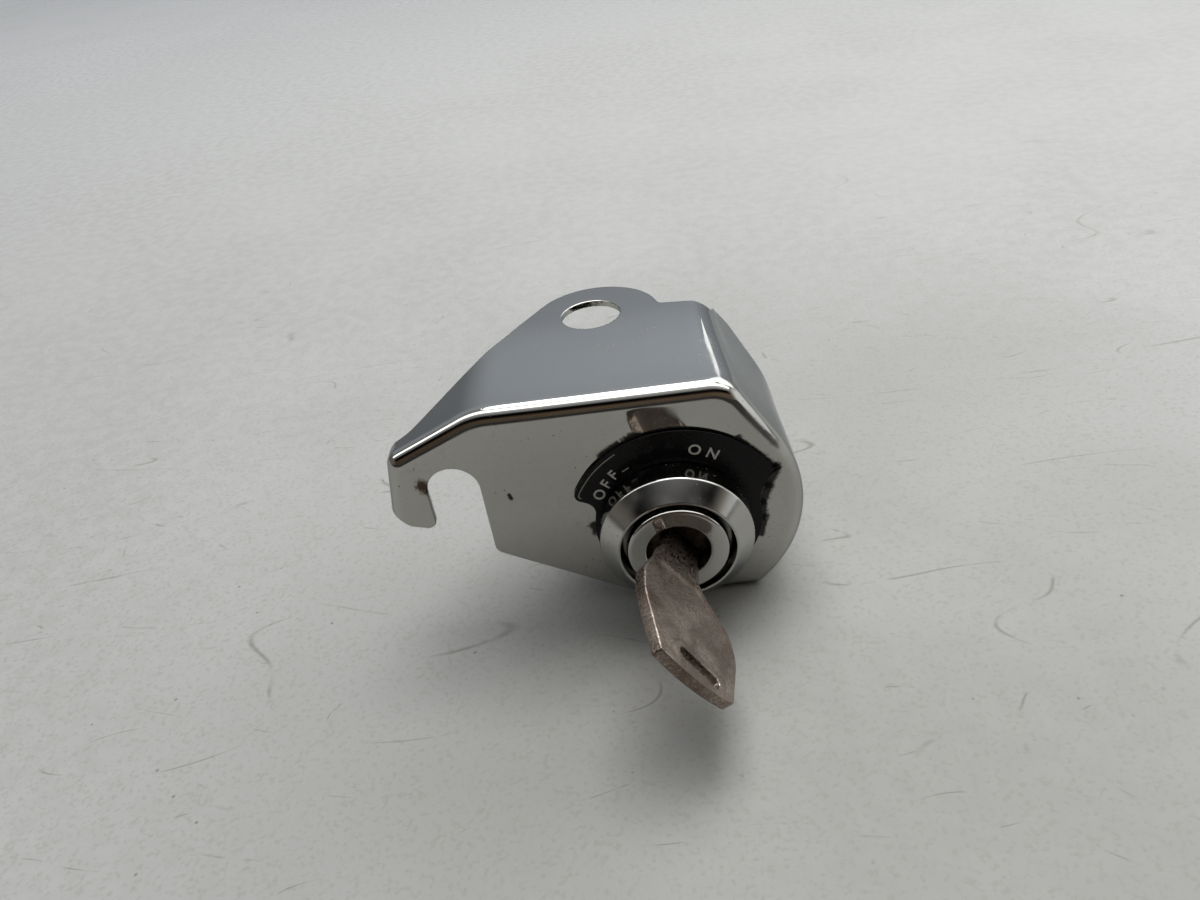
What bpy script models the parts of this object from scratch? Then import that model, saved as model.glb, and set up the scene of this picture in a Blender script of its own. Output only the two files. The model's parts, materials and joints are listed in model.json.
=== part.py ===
"""Side-mount ignition switch for a motorcycle, with its chromed cover and its flat key.

The pressed-steel cover has a hook on its left that slips behind one bolt and a flange on top
with a tab for a second bolt.  A barrel lock stands through its face: a die-cast housing held
by a conical chromed nut, a turning plug with five wafer tumblers, and behind the plug a small
rotary switch with three screw terminals.

Everything is laid out round the lock axis.  In the lock's own frame the face of the cover is
the plane y = 0, -Y points at the rider, +Y into the cover, +Z up.  The part's origin is the
seat under the flange, just in front of the bolt hole, so the whole lock frame hangs from an
empty that is placed there.  Sizes are millimetres and degrees.
"""

from math import asin, atan2, ceil, cos, degrees, hypot, pi, radians, sin, tan

import bmesh
import bpy
from mathutils import Matrix, Vector

MM = 0.001

# Fits
SEAT_GAP = 0.3            # between faces that rest on each other
RUN_GAP = 0.3             # round a piece that turns or slides
SLOT_GAP = 0.2            # each side of a wafer in its slot

# Cover: sheet, walls and the straight edges of its face outline.
# An edge is (direction of its outward normal, distance from the lock axis).
SHEET = 1.4
FOLD_RADIUS = 2.6
TOP_HEIGHT = 31.0
BOTTOM_DROP = 20.2
END_RADIUS = 25.8
SLANT_NORMAL = 31.7
END_NORMAL = -45.0
SHOULDER_NORMAL = 114.5
SHOULDER_DISTANCE = 42.0
HOOK_NORMAL = 170.0
HOOK_DISTANCE = 56.5
TIP_NORMAL = 255.5
TIP_DISTANCE = 7.55
TIP_CHAMFER_NORMAL = 225.0
TIP_CHAMFER_DISTANCE = 33.0
SLOT_WIDTH = 10.4
SLOT_RIGHT = 36.7
SLOT_TOP = 18.5
CHIN_NORMAL = 241.0
CHIN_RADIUS = 20.2
LIP_START_X = 4.0
RELIEF_WIDTH = 1.6
RELIEF_DEPTH = 3.2

# Rounding of the face outline's corners
TOP_CORNER = 3.6
SHOULDER_CORNER = 14.0
HOOK_CORNER = 3.8
TIP_OUTER_CORNER = 2.4
TIP_INNER_CORNER = 1.7
SLOT_CORNER = 2.2
BOTTOM_CORNER = 6.0

# Back edges of the cover's walls.  The wing is measured to the right from the hook's top corner,
# the cheek down from the flange.
HOOK_LIP_DEPTH = 1.7
HOOK_LIP_RISE = 8.0
HOOK_LIP_TOP = 21.5
HOOK_LIP_TOP_DEPTH = 6.7
HOOK_LIP_CLEAR = 3.0
WING_END_DEPTH = 2.2
WING_NEAR_DEPTH = 7.3
WING_NEAR = 1.8
WING_DEPTH = 8.4
WING_START = 5.0
WING_KNEE = 10.9
WING_KNEE_DEPTH = 15.0
WING_SHOULDER = 15.2
WING_BACK = 18.8
TAB_ROOT = 20.6
TAB_ROOT_DEPTH = 22.1
FLANGE_DEPTH = 32.5
FLANGE_STEP = 1.2
FLANGE_PAST_CORNER = 1.0
CHEEK_DEPTH = 39.0
CHEEK_LOW_DEPTH = 34.4
CHEEK_WIDEST = 8.4
CHEEK_FOOT = 21.1
CHEEK_WAIST_DROP = 31.0
CHEEK_WAIST_DEPTH = 27.0
CHEEK_TOE_DROP = 48.0
END_LIP_DEPTH = 14.0
BOTTOM_LIP_DEPTH = 6.0
TAB_RADIUS = 12.9
TAB_FILLET = 1.6
BOLT_HOLE_RADIUS = 6.2
BOLT_X = -12.5
BOLT_Y = 33.2
SEAT_AHEAD_OF_BOLT = 11.0

# Label plate
LABEL_THICKNESS = 0.5
LABEL_RADIUS = 21.8
LABEL_PAST_NUT = 1.2
LABEL_CENTRE = 92.0
LABEL_HALF_ANGLE = 65.0
LABEL_CORNER = 1.6
LABEL_FILLET = 3.0

# Lock housing
NECK_RADIUS = 10.8
NECK_FRONT = 6.0
NECK_CHAMFER = 0.5
COLLAR_RADIUS = 14.5
COLLAR_THICKNESS = 3.2
BARREL_RADIUS = 12.8
BARREL_END = 14.0
CAN_RADIUS = 18.0
CAN_START = 16.6
CAN_WALL = 3.0
FLOOR_Y = 17.5
CLIP_POCKET_DEPTH = 1.7
CLIP_POCKET_PLAY = 0.7
BOARD_LEDGE = 1.0
CAN_LIP = 1.2

# Face nut and lock washer
NUT_RADIUS = 15.0
NUT_RIM = 5.4
NUT_HEIGHT = 8.1
NUT_FACE_WIDTH = 0.35
NUT_BACK_CHAMFER = 0.5
WASHER_THICKNESS = 0.8
WASHER_PAST_COLLAR = 0.1
WASHER_TOOTH = 1.6
WASHER_TEETH = 14

# Plug and its cap
CAP_RADIUS = 9.85
CAP_HEIGHT = 3.3
CAP_BORE = 6.1
CAP_ROUND = 0.6
PLUG_RADIUS = 8.0
PLUG_TAIL = 0.6
TANG_WIDTH = 8.0
TANG_THICKNESS = 3.0
TANG_LENGTH = 5.8
KEYWAY_MARGIN = 0.4
CLIP_THICKNESS = 0.8
CLIP_GROOVE_DEPTH = 1.2
CLIP_WIDTH = 2.6
CLIP_MOUTH_ANGLE = 34.0

# Wafer tumblers
WAFER_COUNT = 5
WAFER_FIRST = 0.2
WAFER_PITCH = 2.9
WAFER_THICKNESS = 1.0
WAFER_HALF_WIDTH = 3.3
WAFER_TRAVEL = 0.8
WAFER_SPARE = 0.8

# Key; the bow's outline is (distance ahead of the face, half width) from shoulder to far end
KEY_REST_ANGLE = 55.0
KEY_THICKNESS = 2.3
KEY_EDGE = 0.25
BLADE_HALF_WIDTH = 4.2
BLADE_END = 14.0
BLADE_TIP_WIDTH = 3.6
STOP_FRONT = 13.2
STOP_HALF_WIDTH = 6.2
NECK_HALF_WIDTH = 4.3
NECK_END = 17.2
BOW_START = 24.2
BOW_HALF_WIDTH = 12.4
BOW_WIDEST = 29.5
BOW_SHOULDER = 41.4
BOW_END_WIDTH = 9.2
BOW_END = 43.4
RING_SLOT_LENGTH = 10.0
RING_SLOT_WIDTH = 2.3
RING_SLOT_AT = 38.8
RING_SLOT_OFFSET = 0.8
RING_SLOT_ANGLE = 9.0
BITTING = (0.9, 0.3, 1.2, 0.6, 0.9)
BITTING_FLAT = 0.9
MILLED_GROOVE_WIDTH = 1.1
MILLED_GROOVE_DEPTH = 0.45
MILLED_GROOVE_SIDE = 1.7

# Rotary switch behind the plug
ROTOR_PLAY = 1.0
ROTOR_THICKNESS = 6.4
ROTOR_STANDOFF = 0.5
LUG_PLAY = 0.4
LUG_HALF_ANGLE = 17.0
KEY_TURN_ANGLE = 63.0
STOP_PLAY_ANGLE = 2.0
STOP_PAD_ANGLE = 18.0
STOP_PAD_DEPTH = 2.8
BALL_RADIUS = 1.5
CAGE_WALL = 0.8
BALL_TRAVEL = 0.5
BALL_CAGE_DEPTH = 5.6
DETENT_WIRE = 0.4
DETENT_COIL = 1.0
DETENT_TURNS = 5
CONTACT_CIRCLE = 9.5
BRIDGE_THICKNESS = 0.8
BRIDGE_BORE = 4.9
BRIDGE_RIM = 0.8
LOBE_RADIUS = 2.6
PEG_RADIUS = 0.9
CONTACT_SPRING_WIRE = 0.6
CONTACT_SPRING_COIL = 6.2
CONTACT_SPRING_TURNS = 3
SPRING_POCKET_WIDTH = 1.7
SPRING_POCKET_DEPTH = 2.4
BRIDGE_STANDOFF = 0.9

# Terminal board
BOARD_THICKNESS = 2.5
RIB_THICKNESS = 1.6
RIB_HEIGHT = 3.2
RIB_REACH = 13.4
RING_THICKNESS = 1.0
RING_WIDTH = 2.1
RING_GROOVE = 1.0
RING_MOUTH_ANGLE = 20.0
HEAD_RADIUS = 2.2
HEAD_THICKNESS = 1.5
SHANK_RADIUS = 1.5
BOSS_RADIUS = 3.2
BOSS_HEIGHT = 3.6
SCREW_RADIUS = 1.2
SCREW_LENGTH = 2.5
SCREW_HEAD_RADIUS = 2.9
SCREW_HEAD_HEIGHT = 1.6
SCREW_SLOT_WIDTH = 0.8
SCREW_SLOT_DEPTH = 0.7
TERMINALS = (("terminal_battery", 90.0), ("terminal_ignition", 210.0), ("terminal_lights", 330.0))

# Places that follow from the sizes above
LABEL_BACK = -SEAT_GAP
LABEL_FRONT = LABEL_BACK - LABEL_THICKNESS
NUT_BACK = LABEL_FRONT - SEAT_GAP
WASHER_FRONT = SHEET + SEAT_GAP
COLLAR_FRONT = WASHER_FRONT + WASHER_THICKNESS + SEAT_GAP
HOLE_RADIUS = NECK_RADIUS + SEAT_GAP
BORE_RADIUS = PLUG_RADIUS + RUN_GAP
BORE_END = FLOOR_Y - CLIP_POCKET_DEPTH
CLIP_FRONT = BORE_END + RUN_GAP
PLUG_END = CLIP_FRONT + CLIP_THICKNESS + SLOT_GAP + PLUG_TAIL
CAN_BORE = CAN_RADIUS - CAN_WALL
BOARD_BORE = CAN_BORE + BOARD_LEDGE
LABEL_RING_RADIUS = NUT_RADIUS + LABEL_PAST_NUT
WASHER_RADIUS = COLLAR_RADIUS + WASHER_PAST_COLLAR
KEYWAY_END = BLADE_END + KEYWAY_MARGIN
CLIP_INNER = PLUG_RADIUS - CLIP_GROOVE_DEPTH + SLOT_GAP
CLIP_POCKET_RADIUS = CLIP_INNER + CLIP_WIDTH + CLIP_POCKET_PLAY
WAFER_RADIUS = PLUG_RADIUS - RUN_GAP
WAFER_GROOVE_RADIUS = WAFER_RADIUS + WAFER_TRAVEL + WAFER_SPARE
ROTOR_RADIUS = CAN_BORE - STOP_PAD_DEPTH - ROTOR_PLAY
LUG_RADIUS = CAN_BORE - LUG_PLAY
BALL_CIRCLE = LUG_RADIUS - CAGE_WALL - RUN_GAP - BALL_RADIUS
PEG_CIRCLE = CONTACT_SPRING_COIL + SPRING_POCKET_WIDTH / 2 + PEG_RADIUS
BRIDGE_HUB = PEG_CIRCLE + PEG_RADIUS + RUN_GAP + BRIDGE_RIM
BALL_CENTRE = FLOOR_Y + RUN_GAP + BALL_RADIUS
ROTOR_FRONT = FLOOR_Y + ROTOR_STANDOFF
ROTOR_BACK = ROTOR_FRONT + ROTOR_THICKNESS
BRIDGE_FRONT = ROTOR_BACK + BRIDGE_STANDOFF
CONTACT_FRONT = BRIDGE_FRONT + BRIDGE_THICKNESS + RUN_GAP
LEDGE_Y = CONTACT_FRONT + HEAD_THICKNESS
BOARD_FRONT = LEDGE_Y + SEAT_GAP
BOARD_BACK = BOARD_FRONT + BOARD_THICKNESS
RING_FRONT = BOARD_BACK + SEAT_GAP
GROOVE_BACK = RING_FRONT + RING_THICKNESS + SLOT_GAP
CAN_END = GROOVE_BACK + CAN_LIP
BOSS_FRONT = BOARD_BACK + SEAT_GAP
BOSS_BACK = BOSS_FRONT + BOSS_HEIGHT
SCREW_HEAD_FRONT = BOSS_BACK + SEAT_GAP
SLOT_LEFT = SLOT_RIGHT + SLOT_WIDTH
FLANGE_CORNER_X = FLANGE_PAST_CORNER + (END_RADIUS - TOP_HEIGHT * sin(radians(SLANT_NORMAL))) / cos(
    radians(SLANT_NORMAL))
WALL_REACH = max(BOLT_Y + TAB_RADIUS, CHEEK_DEPTH) + FOLD_RADIUS    # before the walls are trimmed
FAR = WALL_REACH + TAB_RADIUS

TURNED_STEPS = 48
SMALL_STEPS = 18
ARC_STEP = 9.0


def clear_scene():
    """Remove what a new file starts with."""
    for obj in list(bpy.data.objects):
        bpy.data.objects.remove(obj, do_unlink=True)


def new_collection(name):
    """A collection in the scene."""
    collection = bpy.data.collections.new(name)
    bpy.context.scene.collection.children.link(collection)
    return collection


def finish(name, colour, metallic, roughness):
    """A Principled material."""
    made = bpy.data.materials.new(name)
    made.use_nodes = True
    shader = made.node_tree.nodes["Principled BSDF"]
    shader.inputs["Base Color"].default_value = (*colour, 1.0)
    shader.inputs["Metallic"].default_value = metallic
    shader.inputs["Roughness"].default_value = roughness
    made.diffuse_color = (*colour, 1.0)
    return made


# Plane geometry

def meet(first, second):
    """Where two lines cross, each given as (direction of its normal, distance from the axis)."""
    a, p = radians(first[0]), first[1]
    b, q = radians(second[0]), second[1]
    spread = sin(b - a)
    return ((p * sin(b) - q * sin(a)) / spread, (q * cos(a) - p * cos(b)) / spread)


def polar(radius, angle, centre=(0.0, 0.0)):
    """A point at a radius and an angle in degrees."""
    return (centre[0] + radius * cos(radians(angle)), centre[1] + radius * sin(radians(angle)))


def arc(radius, start, end, centre=(0.0, 0.0), step=ARC_STEP):
    """Points along an arc from one angle to another, both ends included."""
    count = max(1, ceil(abs(end - start) / step - 1e-6))
    return [polar(radius, start + (end - start) * i / count, centre) for i in range(count + 1)]


def circle(radius, centre=(0.0, 0.0), count=TURNED_STEPS):
    """A closed ring of points."""
    return [polar(radius, 360.0 * i / count, centre) for i in range(count)]


def box_outline(width, height, centre=(0.0, 0.0)):
    """A rectangle's four corners."""
    x, y = centre
    return [(x - width / 2, y - height / 2), (x + width / 2, y - height / 2),
            (x + width / 2, y + height / 2), (x - width / 2, y + height / 2)]


def rounded(corners, closed=True):
    """The path through (x, y, radius) corners, each turned by an arc that is tangent to its sides.

    Two arcs that need more than the side between them share it in proportion.
    """
    count = len(corners)
    sides = [Vector((corners[(i + 1) % count][0] - corners[i][0],
                     corners[(i + 1) % count][1] - corners[i][1])) for i in range(count)]
    turns, reaches = [], []
    for index, (x, y, radius) in enumerate(corners):
        inner = closed or 0 < index < count - 1
        turn = sides[index - 1].angle(sides[index]) if inner else 0.0
        turns.append(turn)
        reaches.append(radius * tan(turn / 2) if radius > 0.0 and turn > 1e-4 else 0.0)
    share = [1.0] * count
    for index, side in enumerate(sides):
        wanted = reaches[index] + reaches[(index + 1) % count]
        if wanted > side.length:
            for end in (index, (index + 1) % count):
                share[end] = min(share[end], side.length / wanted)
    path = []
    for index, (x, y, radius) in enumerate(corners):
        reach = reaches[index] * share[index]
        if reach <= 0.0:
            path.append((x, y))
            continue
        turn = turns[index]
        back = -sides[index - 1]
        ahead = sides[index]
        radius = reach / tan(turn / 2)
        middle = (back.normalized() + ahead.normalized()).normalized()
        centre = Vector((x, y)) + middle * (radius / cos(turn / 2))
        start = Vector((x, y)) + back.normalized() * reach - centre
        side = 1.0 if back.x * ahead.y - back.y * ahead.x < 0.0 else -1.0
        steps = max(1, ceil(degrees(turn) / ARC_STEP))
        for step in range(steps + 1):
            spoke = start.copy()
            spoke.rotate(Matrix.Rotation(side * turn * step / steps, 2))
            path.append(tuple(centre + spoke))
    kept = []
    for point in path:
        if not kept or hypot(point[0] - kept[-1][0], point[1] - kept[-1][1]) > 0.02:
            kept.append(point)
    if closed and hypot(kept[0][0] - kept[-1][0], kept[0][1] - kept[-1][1]) < 0.02:
        kept.pop()
    return kept


# Solids

def place(name, mesh, parent, collection, at=(0.0, 0.0, 0.0), turn=(0.0, 0.0, 0.0), look=None):
    """An object for a mesh, placed in its parent's frame."""
    obj = bpy.data.objects.new(name, mesh)
    obj.parent = parent
    obj.location = [MM * value for value in at]
    obj.rotation_euler = [radians(value) for value in turn]
    collection.objects.link(obj)
    if look is not None:
        obj.data.materials.append(look)
    return obj


FACE_ON = (90.0, 0.0, 0.0)        # a plate in the x-z plane, seen from the front
SIDE_ON = (90.0, 0.0, 90.0)       # a plate in the y-z plane


def plate_mesh(name, outlines, thickness):
    """A flat solid from closed outlines, the first filled and the others left open."""
    curve = bpy.data.curves.new(name, "CURVE")
    curve.dimensions = "2D"
    curve.fill_mode = "BOTH"
    curve.extrude = MM * thickness / 2
    for outline in outlines:
        spline = curve.splines.new("POLY")
        spline.points.add(len(outline) - 1)
        for point, (x, y) in zip(spline.points, outline):
            point.co = (MM * x, MM * y, 0.0, 1.0)
        spline.use_cyclic_u = True
    carrier = bpy.data.objects.new(name + "_outline", curve)
    bpy.context.scene.collection.objects.link(carrier)
    graph = bpy.context.evaluated_depsgraph_get()
    mesh = bpy.data.meshes.new_from_object(carrier.evaluated_get(graph))
    bpy.data.objects.remove(carrier, do_unlink=True)
    weld(mesh)
    return mesh


def wire_mesh(name, points, wire):
    """A round wire along a path of points, with closed ends."""
    curve = bpy.data.curves.new(name, "CURVE")
    curve.dimensions = "3D"
    curve.bevel_depth = MM * wire / 2
    curve.bevel_resolution = 2
    curve.use_fill_caps = True
    spline = curve.splines.new("POLY")
    spline.points.add(len(points) - 1)
    for point, place_mm in zip(spline.points, points):
        point.co = (*[MM * value for value in place_mm], 1.0)
    carrier = bpy.data.objects.new(name + "_path", curve)
    bpy.context.scene.collection.objects.link(carrier)
    graph = bpy.context.evaluated_depsgraph_get()
    mesh = bpy.data.meshes.new_from_object(carrier.evaluated_get(graph))
    bpy.data.objects.remove(carrier, do_unlink=True)
    weld(mesh)
    mesh.shade_smooth()
    return mesh


def weld(mesh):
    """Join a curve's caps to its sides and turn the faces out."""
    work = bmesh.new()
    work.from_mesh(mesh)
    bmesh.ops.remove_doubles(work, verts=work.verts, dist=0.002 * MM)
    bmesh.ops.recalc_face_normals(work, faces=work.faces)
    work.to_mesh(mesh)
    work.free()


def turned(name, profile, parent, collection, look=None, steps=TURNED_STEPS, at=(0.0, 0.0, 0.0)):
    """A turned solid: (radius, y) points spun about the lock axis.

    The profile runs from front to back down its outer side.  One that starts and ends on the
    axis makes a solid, any other is closed into a ring.
    """
    mesh = bpy.data.meshes.new(name)
    verts = [(MM * radius, 0.0, -MM * y) for radius, y in profile]
    edges = [(i, i + 1) for i in range(len(verts) - 1)]
    if profile[0][0] > 0.0 or profile[-1][0] > 0.0:
        edges.append((len(verts) - 1, 0))
    mesh.from_pydata(verts, edges, [])
    obj = place(name, mesh, parent, collection, at=at, turn=FACE_ON, look=look)
    spin = obj.modifiers.new("turning", "SCREW")
    spin.axis = "Z"
    spin.angle = 2.0 * pi
    spin.steps = steps
    spin.render_steps = steps
    spin.use_merge_vertices = True
    spin.merge_threshold = 0.00001
    spin.use_smooth_shade = True
    return obj


def cutter(obj):
    """Mark an object as a tool for Booleans."""
    obj.hide_render = True
    obj.display_type = "WIRE"
    return obj


def combine(obj, other, operation):
    """Cut or join with another object, exactly."""
    step = obj.modifiers.new(operation.lower(), "BOOLEAN")
    step.operation = operation
    step.solver = "EXACT"
    step.object = other


def cylinder_mesh(name, radius, length, steps=32):
    """A primitive cylinder along Z."""
    mesh = bpy.data.meshes.new(name)
    work = bmesh.new()
    bmesh.ops.create_cone(work, cap_ends=True, segments=steps, radius1=MM * radius,
                          radius2=MM * radius, depth=MM * length)
    work.to_mesh(mesh)
    work.free()
    return mesh


def box_mesh(name, size):
    """A primitive box of the given sizes."""
    mesh = bpy.data.meshes.new(name)
    work = bmesh.new()
    bmesh.ops.create_cube(work, size=1.0)
    bmesh.ops.scale(work, vec=[MM * value for value in size], verts=work.verts)
    work.to_mesh(mesh)
    work.free()
    return mesh


def sphere_mesh(name, radius, rings=12, segments=24):
    """A primitive sphere."""
    mesh = bpy.data.meshes.new(name)
    work = bmesh.new()
    bmesh.ops.create_uvsphere(work, u_segments=segments, v_segments=rings, radius=MM * radius)
    work.to_mesh(mesh)
    work.free()
    mesh.shade_smooth()
    return mesh


# Cover

def cover_outline():
    """The face's outline: the stretch that is folded back, then the stretch that is only cut."""
    top = (90.0, TOP_HEIGHT)
    slant = (SLANT_NORMAL, END_RADIUS)
    end = (END_NORMAL, END_RADIUS)
    bottom = (-90.0, BOTTOM_DROP)
    chin = (CHIN_NORMAL, CHIN_RADIUS)
    shoulder = (SHOULDER_NORMAL, SHOULDER_DISTANCE)
    hook = (HOOK_NORMAL, HOOK_DISTANCE)
    tip = (TIP_NORMAL, TIP_DISTANCE)
    slot_left = (0.0, -SLOT_LEFT)
    slot_top = (-90.0, -SLOT_TOP)
    slot_right = (180.0, SLOT_RIGHT)
    chamfer = (TIP_CHAMFER_NORMAL, TIP_CHAMFER_DISTANCE)
    lip_start = (LIP_START_X, -BOTTOM_DROP, 0.0)
    lip_end = (*meet(hook, chamfer), 0.0)
    relief_top = RELIEF_DEPTH - BOTTOM_DROP
    relief_left = LIP_START_X - RELIEF_WIDTH
    folded = [lip_start,
              (*meet(bottom, end), BOTTOM_CORNER),
              (*meet(end, slant), END_RADIUS),
              (*meet(slant, top), TOP_CORNER),
              (*meet(top, shoulder), SHOULDER_CORNER),
              (*meet(shoulder, hook), HOOK_CORNER),
              lip_end]
    cut = [lip_end,
           (*meet(chamfer, tip), TIP_OUTER_CORNER),
           (*meet(tip, slot_left), TIP_INNER_CORNER),
           (*meet(slot_left, slot_top), SLOT_WIDTH / 2),
           (*meet(slot_top, slot_right), SLOT_WIDTH / 2),
           (*meet(slot_right, chin), SLOT_CORNER),
           (*meet(chin, bottom), CHIN_RADIUS),
           (relief_left, -BOTTOM_DROP, 0.0),
           (relief_left, relief_top, RELIEF_WIDTH / 2 - 0.2),
           (LIP_START_X, relief_top, RELIEF_WIDTH / 2 - 0.2),
           lip_start]
    return rounded(folded, closed=False), rounded(cut, closed=False)


def cover_sheet():
    """The pressing's outer surface: the face with its walls folded straight back."""
    folded, cut = cover_outline()
    mesh = bpy.data.meshes.new("cover")
    work = bmesh.new()
    ring = [work.verts.new((MM * x, 0.0, MM * z)) for x, z in folded + cut[1:-1]]
    work.faces.new(ring)
    fold =[work.edges.get((ring[i], ring[i + 1])) for i in range(len(folded) - 1)]
    wall = bmesh.ops.extrude_edge_only(work, edges=fold)["geom"]
    back = [item for item in wall if isinstance(item, bmesh.types.BMVert)]
    bmesh.ops.translate(work, verts=back, vec=(0.0, MM * WALL_REACH, 0.0))
    bmesh.ops.bevel(work, geom=fold, offset=MM * FOLD_RADIUS, offset_type="OFFSET", segments=5,
                    profile=0.5, affect="EDGES", clamp_overlap=False)
    bmesh.ops.recalc_face_normals(work, faces=work.faces)
    face = min(work.faces, key=lambda item: item.calc_center_median().y)
    if face.normal.y > 0.0:
        bmesh.ops.reverse_faces(work, faces=work.faces)
    for item in work.faces:
        item.smooth = True
    work.to_mesh(mesh)
    work.free()
    return mesh


def tab_outline():
    """What is left open behind the flange: its back edge with the tab, closed far behind."""
    corner = meet((SHOULDER_NORMAL, SHOULDER_DISTANCE), (HOOK_NORMAL, HOOK_DISTANCE))[0]
    left = corner - TAB_RADIUS
    centre = (BOLT_X, BOLT_Y)
    root = (corner + TAB_ROOT, TAB_ROOT_DEPTH)
    to_centre = Vector(centre) - Vector(root)
    lean = degrees(atan2(to_centre.y, to_centre.x)) + degrees(asin(TAB_RADIUS / to_centre.length))
    touch = lean + 90.0
    fillet_y = FLANGE_DEPTH + FLANGE_STEP + TAB_FILLET
    reach = TAB_RADIUS + TAB_FILLET
    fillet_angle = degrees(asin((fillet_y - BOLT_Y) / reach))
    fillet = polar(reach, fillet_angle, centre)
    edge = [(left, WING_END_DEPTH), (corner + WING_NEAR, WING_NEAR_DEPTH)]
    edge += rounded([(corner + WING_START, WING_DEPTH, 0.0),
                     (corner + WING_KNEE, WING_KNEE_DEPTH, HOOK_CORNER),
                     (corner + WING_SHOULDER, WING_BACK, HOOK_CORNER), (*root, BOTTOM_CORNER),
                     (*polar(TAB_RADIUS, touch, centre), 0.0)], closed=False)
    edge += arc(TAB_RADIUS, touch, fillet_angle, centre)[1:]
    edge += arc(TAB_FILLET, fillet_angle + 180.0, 270.0, fillet)[1:]
    edge += [(FLANGE_CORNER_X - FLANGE_STEP, FLANGE_DEPTH), (FLANGE_CORNER_X, CHEEK_LOW_DEPTH)]
    return edge + [(FLANGE_CORNER_X, FAR), (left, FAR)]


def cheek_outline():
    """What is left open behind the right wall, as (y, z)."""
    above = TOP_HEIGHT + FOLD_RADIUS
    foot = TOP_HEIGHT - CHEEK_FOOT
    toe = TOP_HEIGHT - CHEEK_TOE_DROP
    below = -BOTTOM_DROP - FOLD_RADIUS
    edge = rounded([(CHEEK_LOW_DEPTH, above, 0.0), (CHEEK_LOW_DEPTH, TOP_HEIGHT - SHEET / 2, SHEET),
                    (CHEEK_DEPTH - SHEET, TOP_HEIGHT - CHEEK_WIDEST / 2, FOLD_RADIUS),
                    (CHEEK_DEPTH, TOP_HEIGHT - CHEEK_WIDEST, FOLD_RADIUS),
                    (CHEEK_LOW_DEPTH, foot + FOLD_RADIUS, FOLD_RADIUS),
                    (CHEEK_LOW_DEPTH, foot, FOLD_RADIUS),
                    (CHEEK_WAIST_DEPTH, TOP_HEIGHT - CHEEK_WAIST_DROP, SHOULDER_CORNER),
                    (END_LIP_DEPTH + SHEET, toe, BOTTOM_CORNER),
                    (END_LIP_DEPTH, -BOTTOM_DROP, BOTTOM_CORNER), (END_LIP_DEPTH, below, 0.0)],
                   closed=False)
    return edge + [(FAR, below), (FAR, above)]


def hook_outline():
    """What is left open behind the hook's bent lip, as (y, z)."""
    low = HOOK_LIP_RISE - BOTTOM_CORNER
    high = HOOK_LIP_TOP + HOOK_LIP_CLEAR
    return [(HOOK_LIP_DEPTH, low), (FAR, low), (FAR, high),
            (HOOK_LIP_TOP_DEPTH + HOOK_LIP_CLEAR, high), (HOOK_LIP_TOP_DEPTH, HOOK_LIP_TOP),
            (HOOK_LIP_DEPTH, HOOK_LIP_RISE)]


def bottom_outline():
    """What is left open behind the lip along the bottom, as (x, y)."""
    start = LIP_START_X - RELIEF_WIDTH
    return [(start, BOTTOM_LIP_DEPTH), (LIP_START_X, BOTTOM_LIP_DEPTH),
            (FLANGE_CORNER_X, END_LIP_DEPTH), (FLANGE_CORNER_X, FAR), (start, FAR)]


def make_cover(parent, parts, tools, look):
    """The chromed pressing."""
    cover = place("cover", cover_sheet(), parent, parts, look=look)
    sheet = cover.modifiers.new("sheet", "SOLIDIFY")
    sheet.thickness = MM * SHEET
    sheet.offset = -1.0
    sheet.use_even_offset = True
    sheet.use_rim = True
    # Each trim is a plate that takes in the wall's whole height or breadth.  The hook's ends
    # short of the slot, the cheek's starts a little before the flange's ends.
    height = TOP_HEIGHT + BOTTOM_DROP
    breadth = 2.0 * (HOOK_DISTANCE - SLOT_LEFT)
    cheek_middle = FLANGE_CORNER_X - SEAT_GAP + height / 2
    trims = (
        ("trim_flange", tab_outline(), 2.0 * height, (0.0, 0.0, 0.0), (0.0, 0.0, 0.0)),
        ("trim_cheek", cheek_outline(), height, (cheek_middle, 0.0, 0.0), SIDE_ON),
        ("trim_hook", hook_outline(), breadth, (-SLOT_LEFT - FOLD_RADIUS - breadth / 2, 0.0, 0.0),
         SIDE_ON),
        ("trim_bottom", bottom_outline(), BOTTOM_DROP, (0.0, 0.0, -BOTTOM_DROP), (0.0, 0.0, 0.0)),
    )
    for name, outline, thickness, at, turn in trims:
        mesh = plate_mesh(name, [outline], thickness)
        combine(cover, cutter(place(name, mesh, parent, tools, at=at, turn=turn)), "DIFFERENCE")
    bolt = cylinder_mesh("bolt_hole", BOLT_HOLE_RADIUS, 4.0 * SHEET + 4.0, steps=40)
    combine(cover, cutter(place("bolt_hole", bolt, parent, tools,
                                at=(BOLT_X, BOLT_Y, TOP_HEIGHT - SHEET / 2))), "DIFFERENCE")
    lock = cylinder_mesh("lock_hole", HOLE_RADIUS, 4.0 * SHEET + 4.0, steps=TURNED_STEPS)
    combine(cover, cutter(place("lock_hole", lock, parent, tools, at=(0.0, SHEET / 2, 0.0),
                                turn=FACE_ON)), "DIFFERENCE")
    return cover


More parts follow.
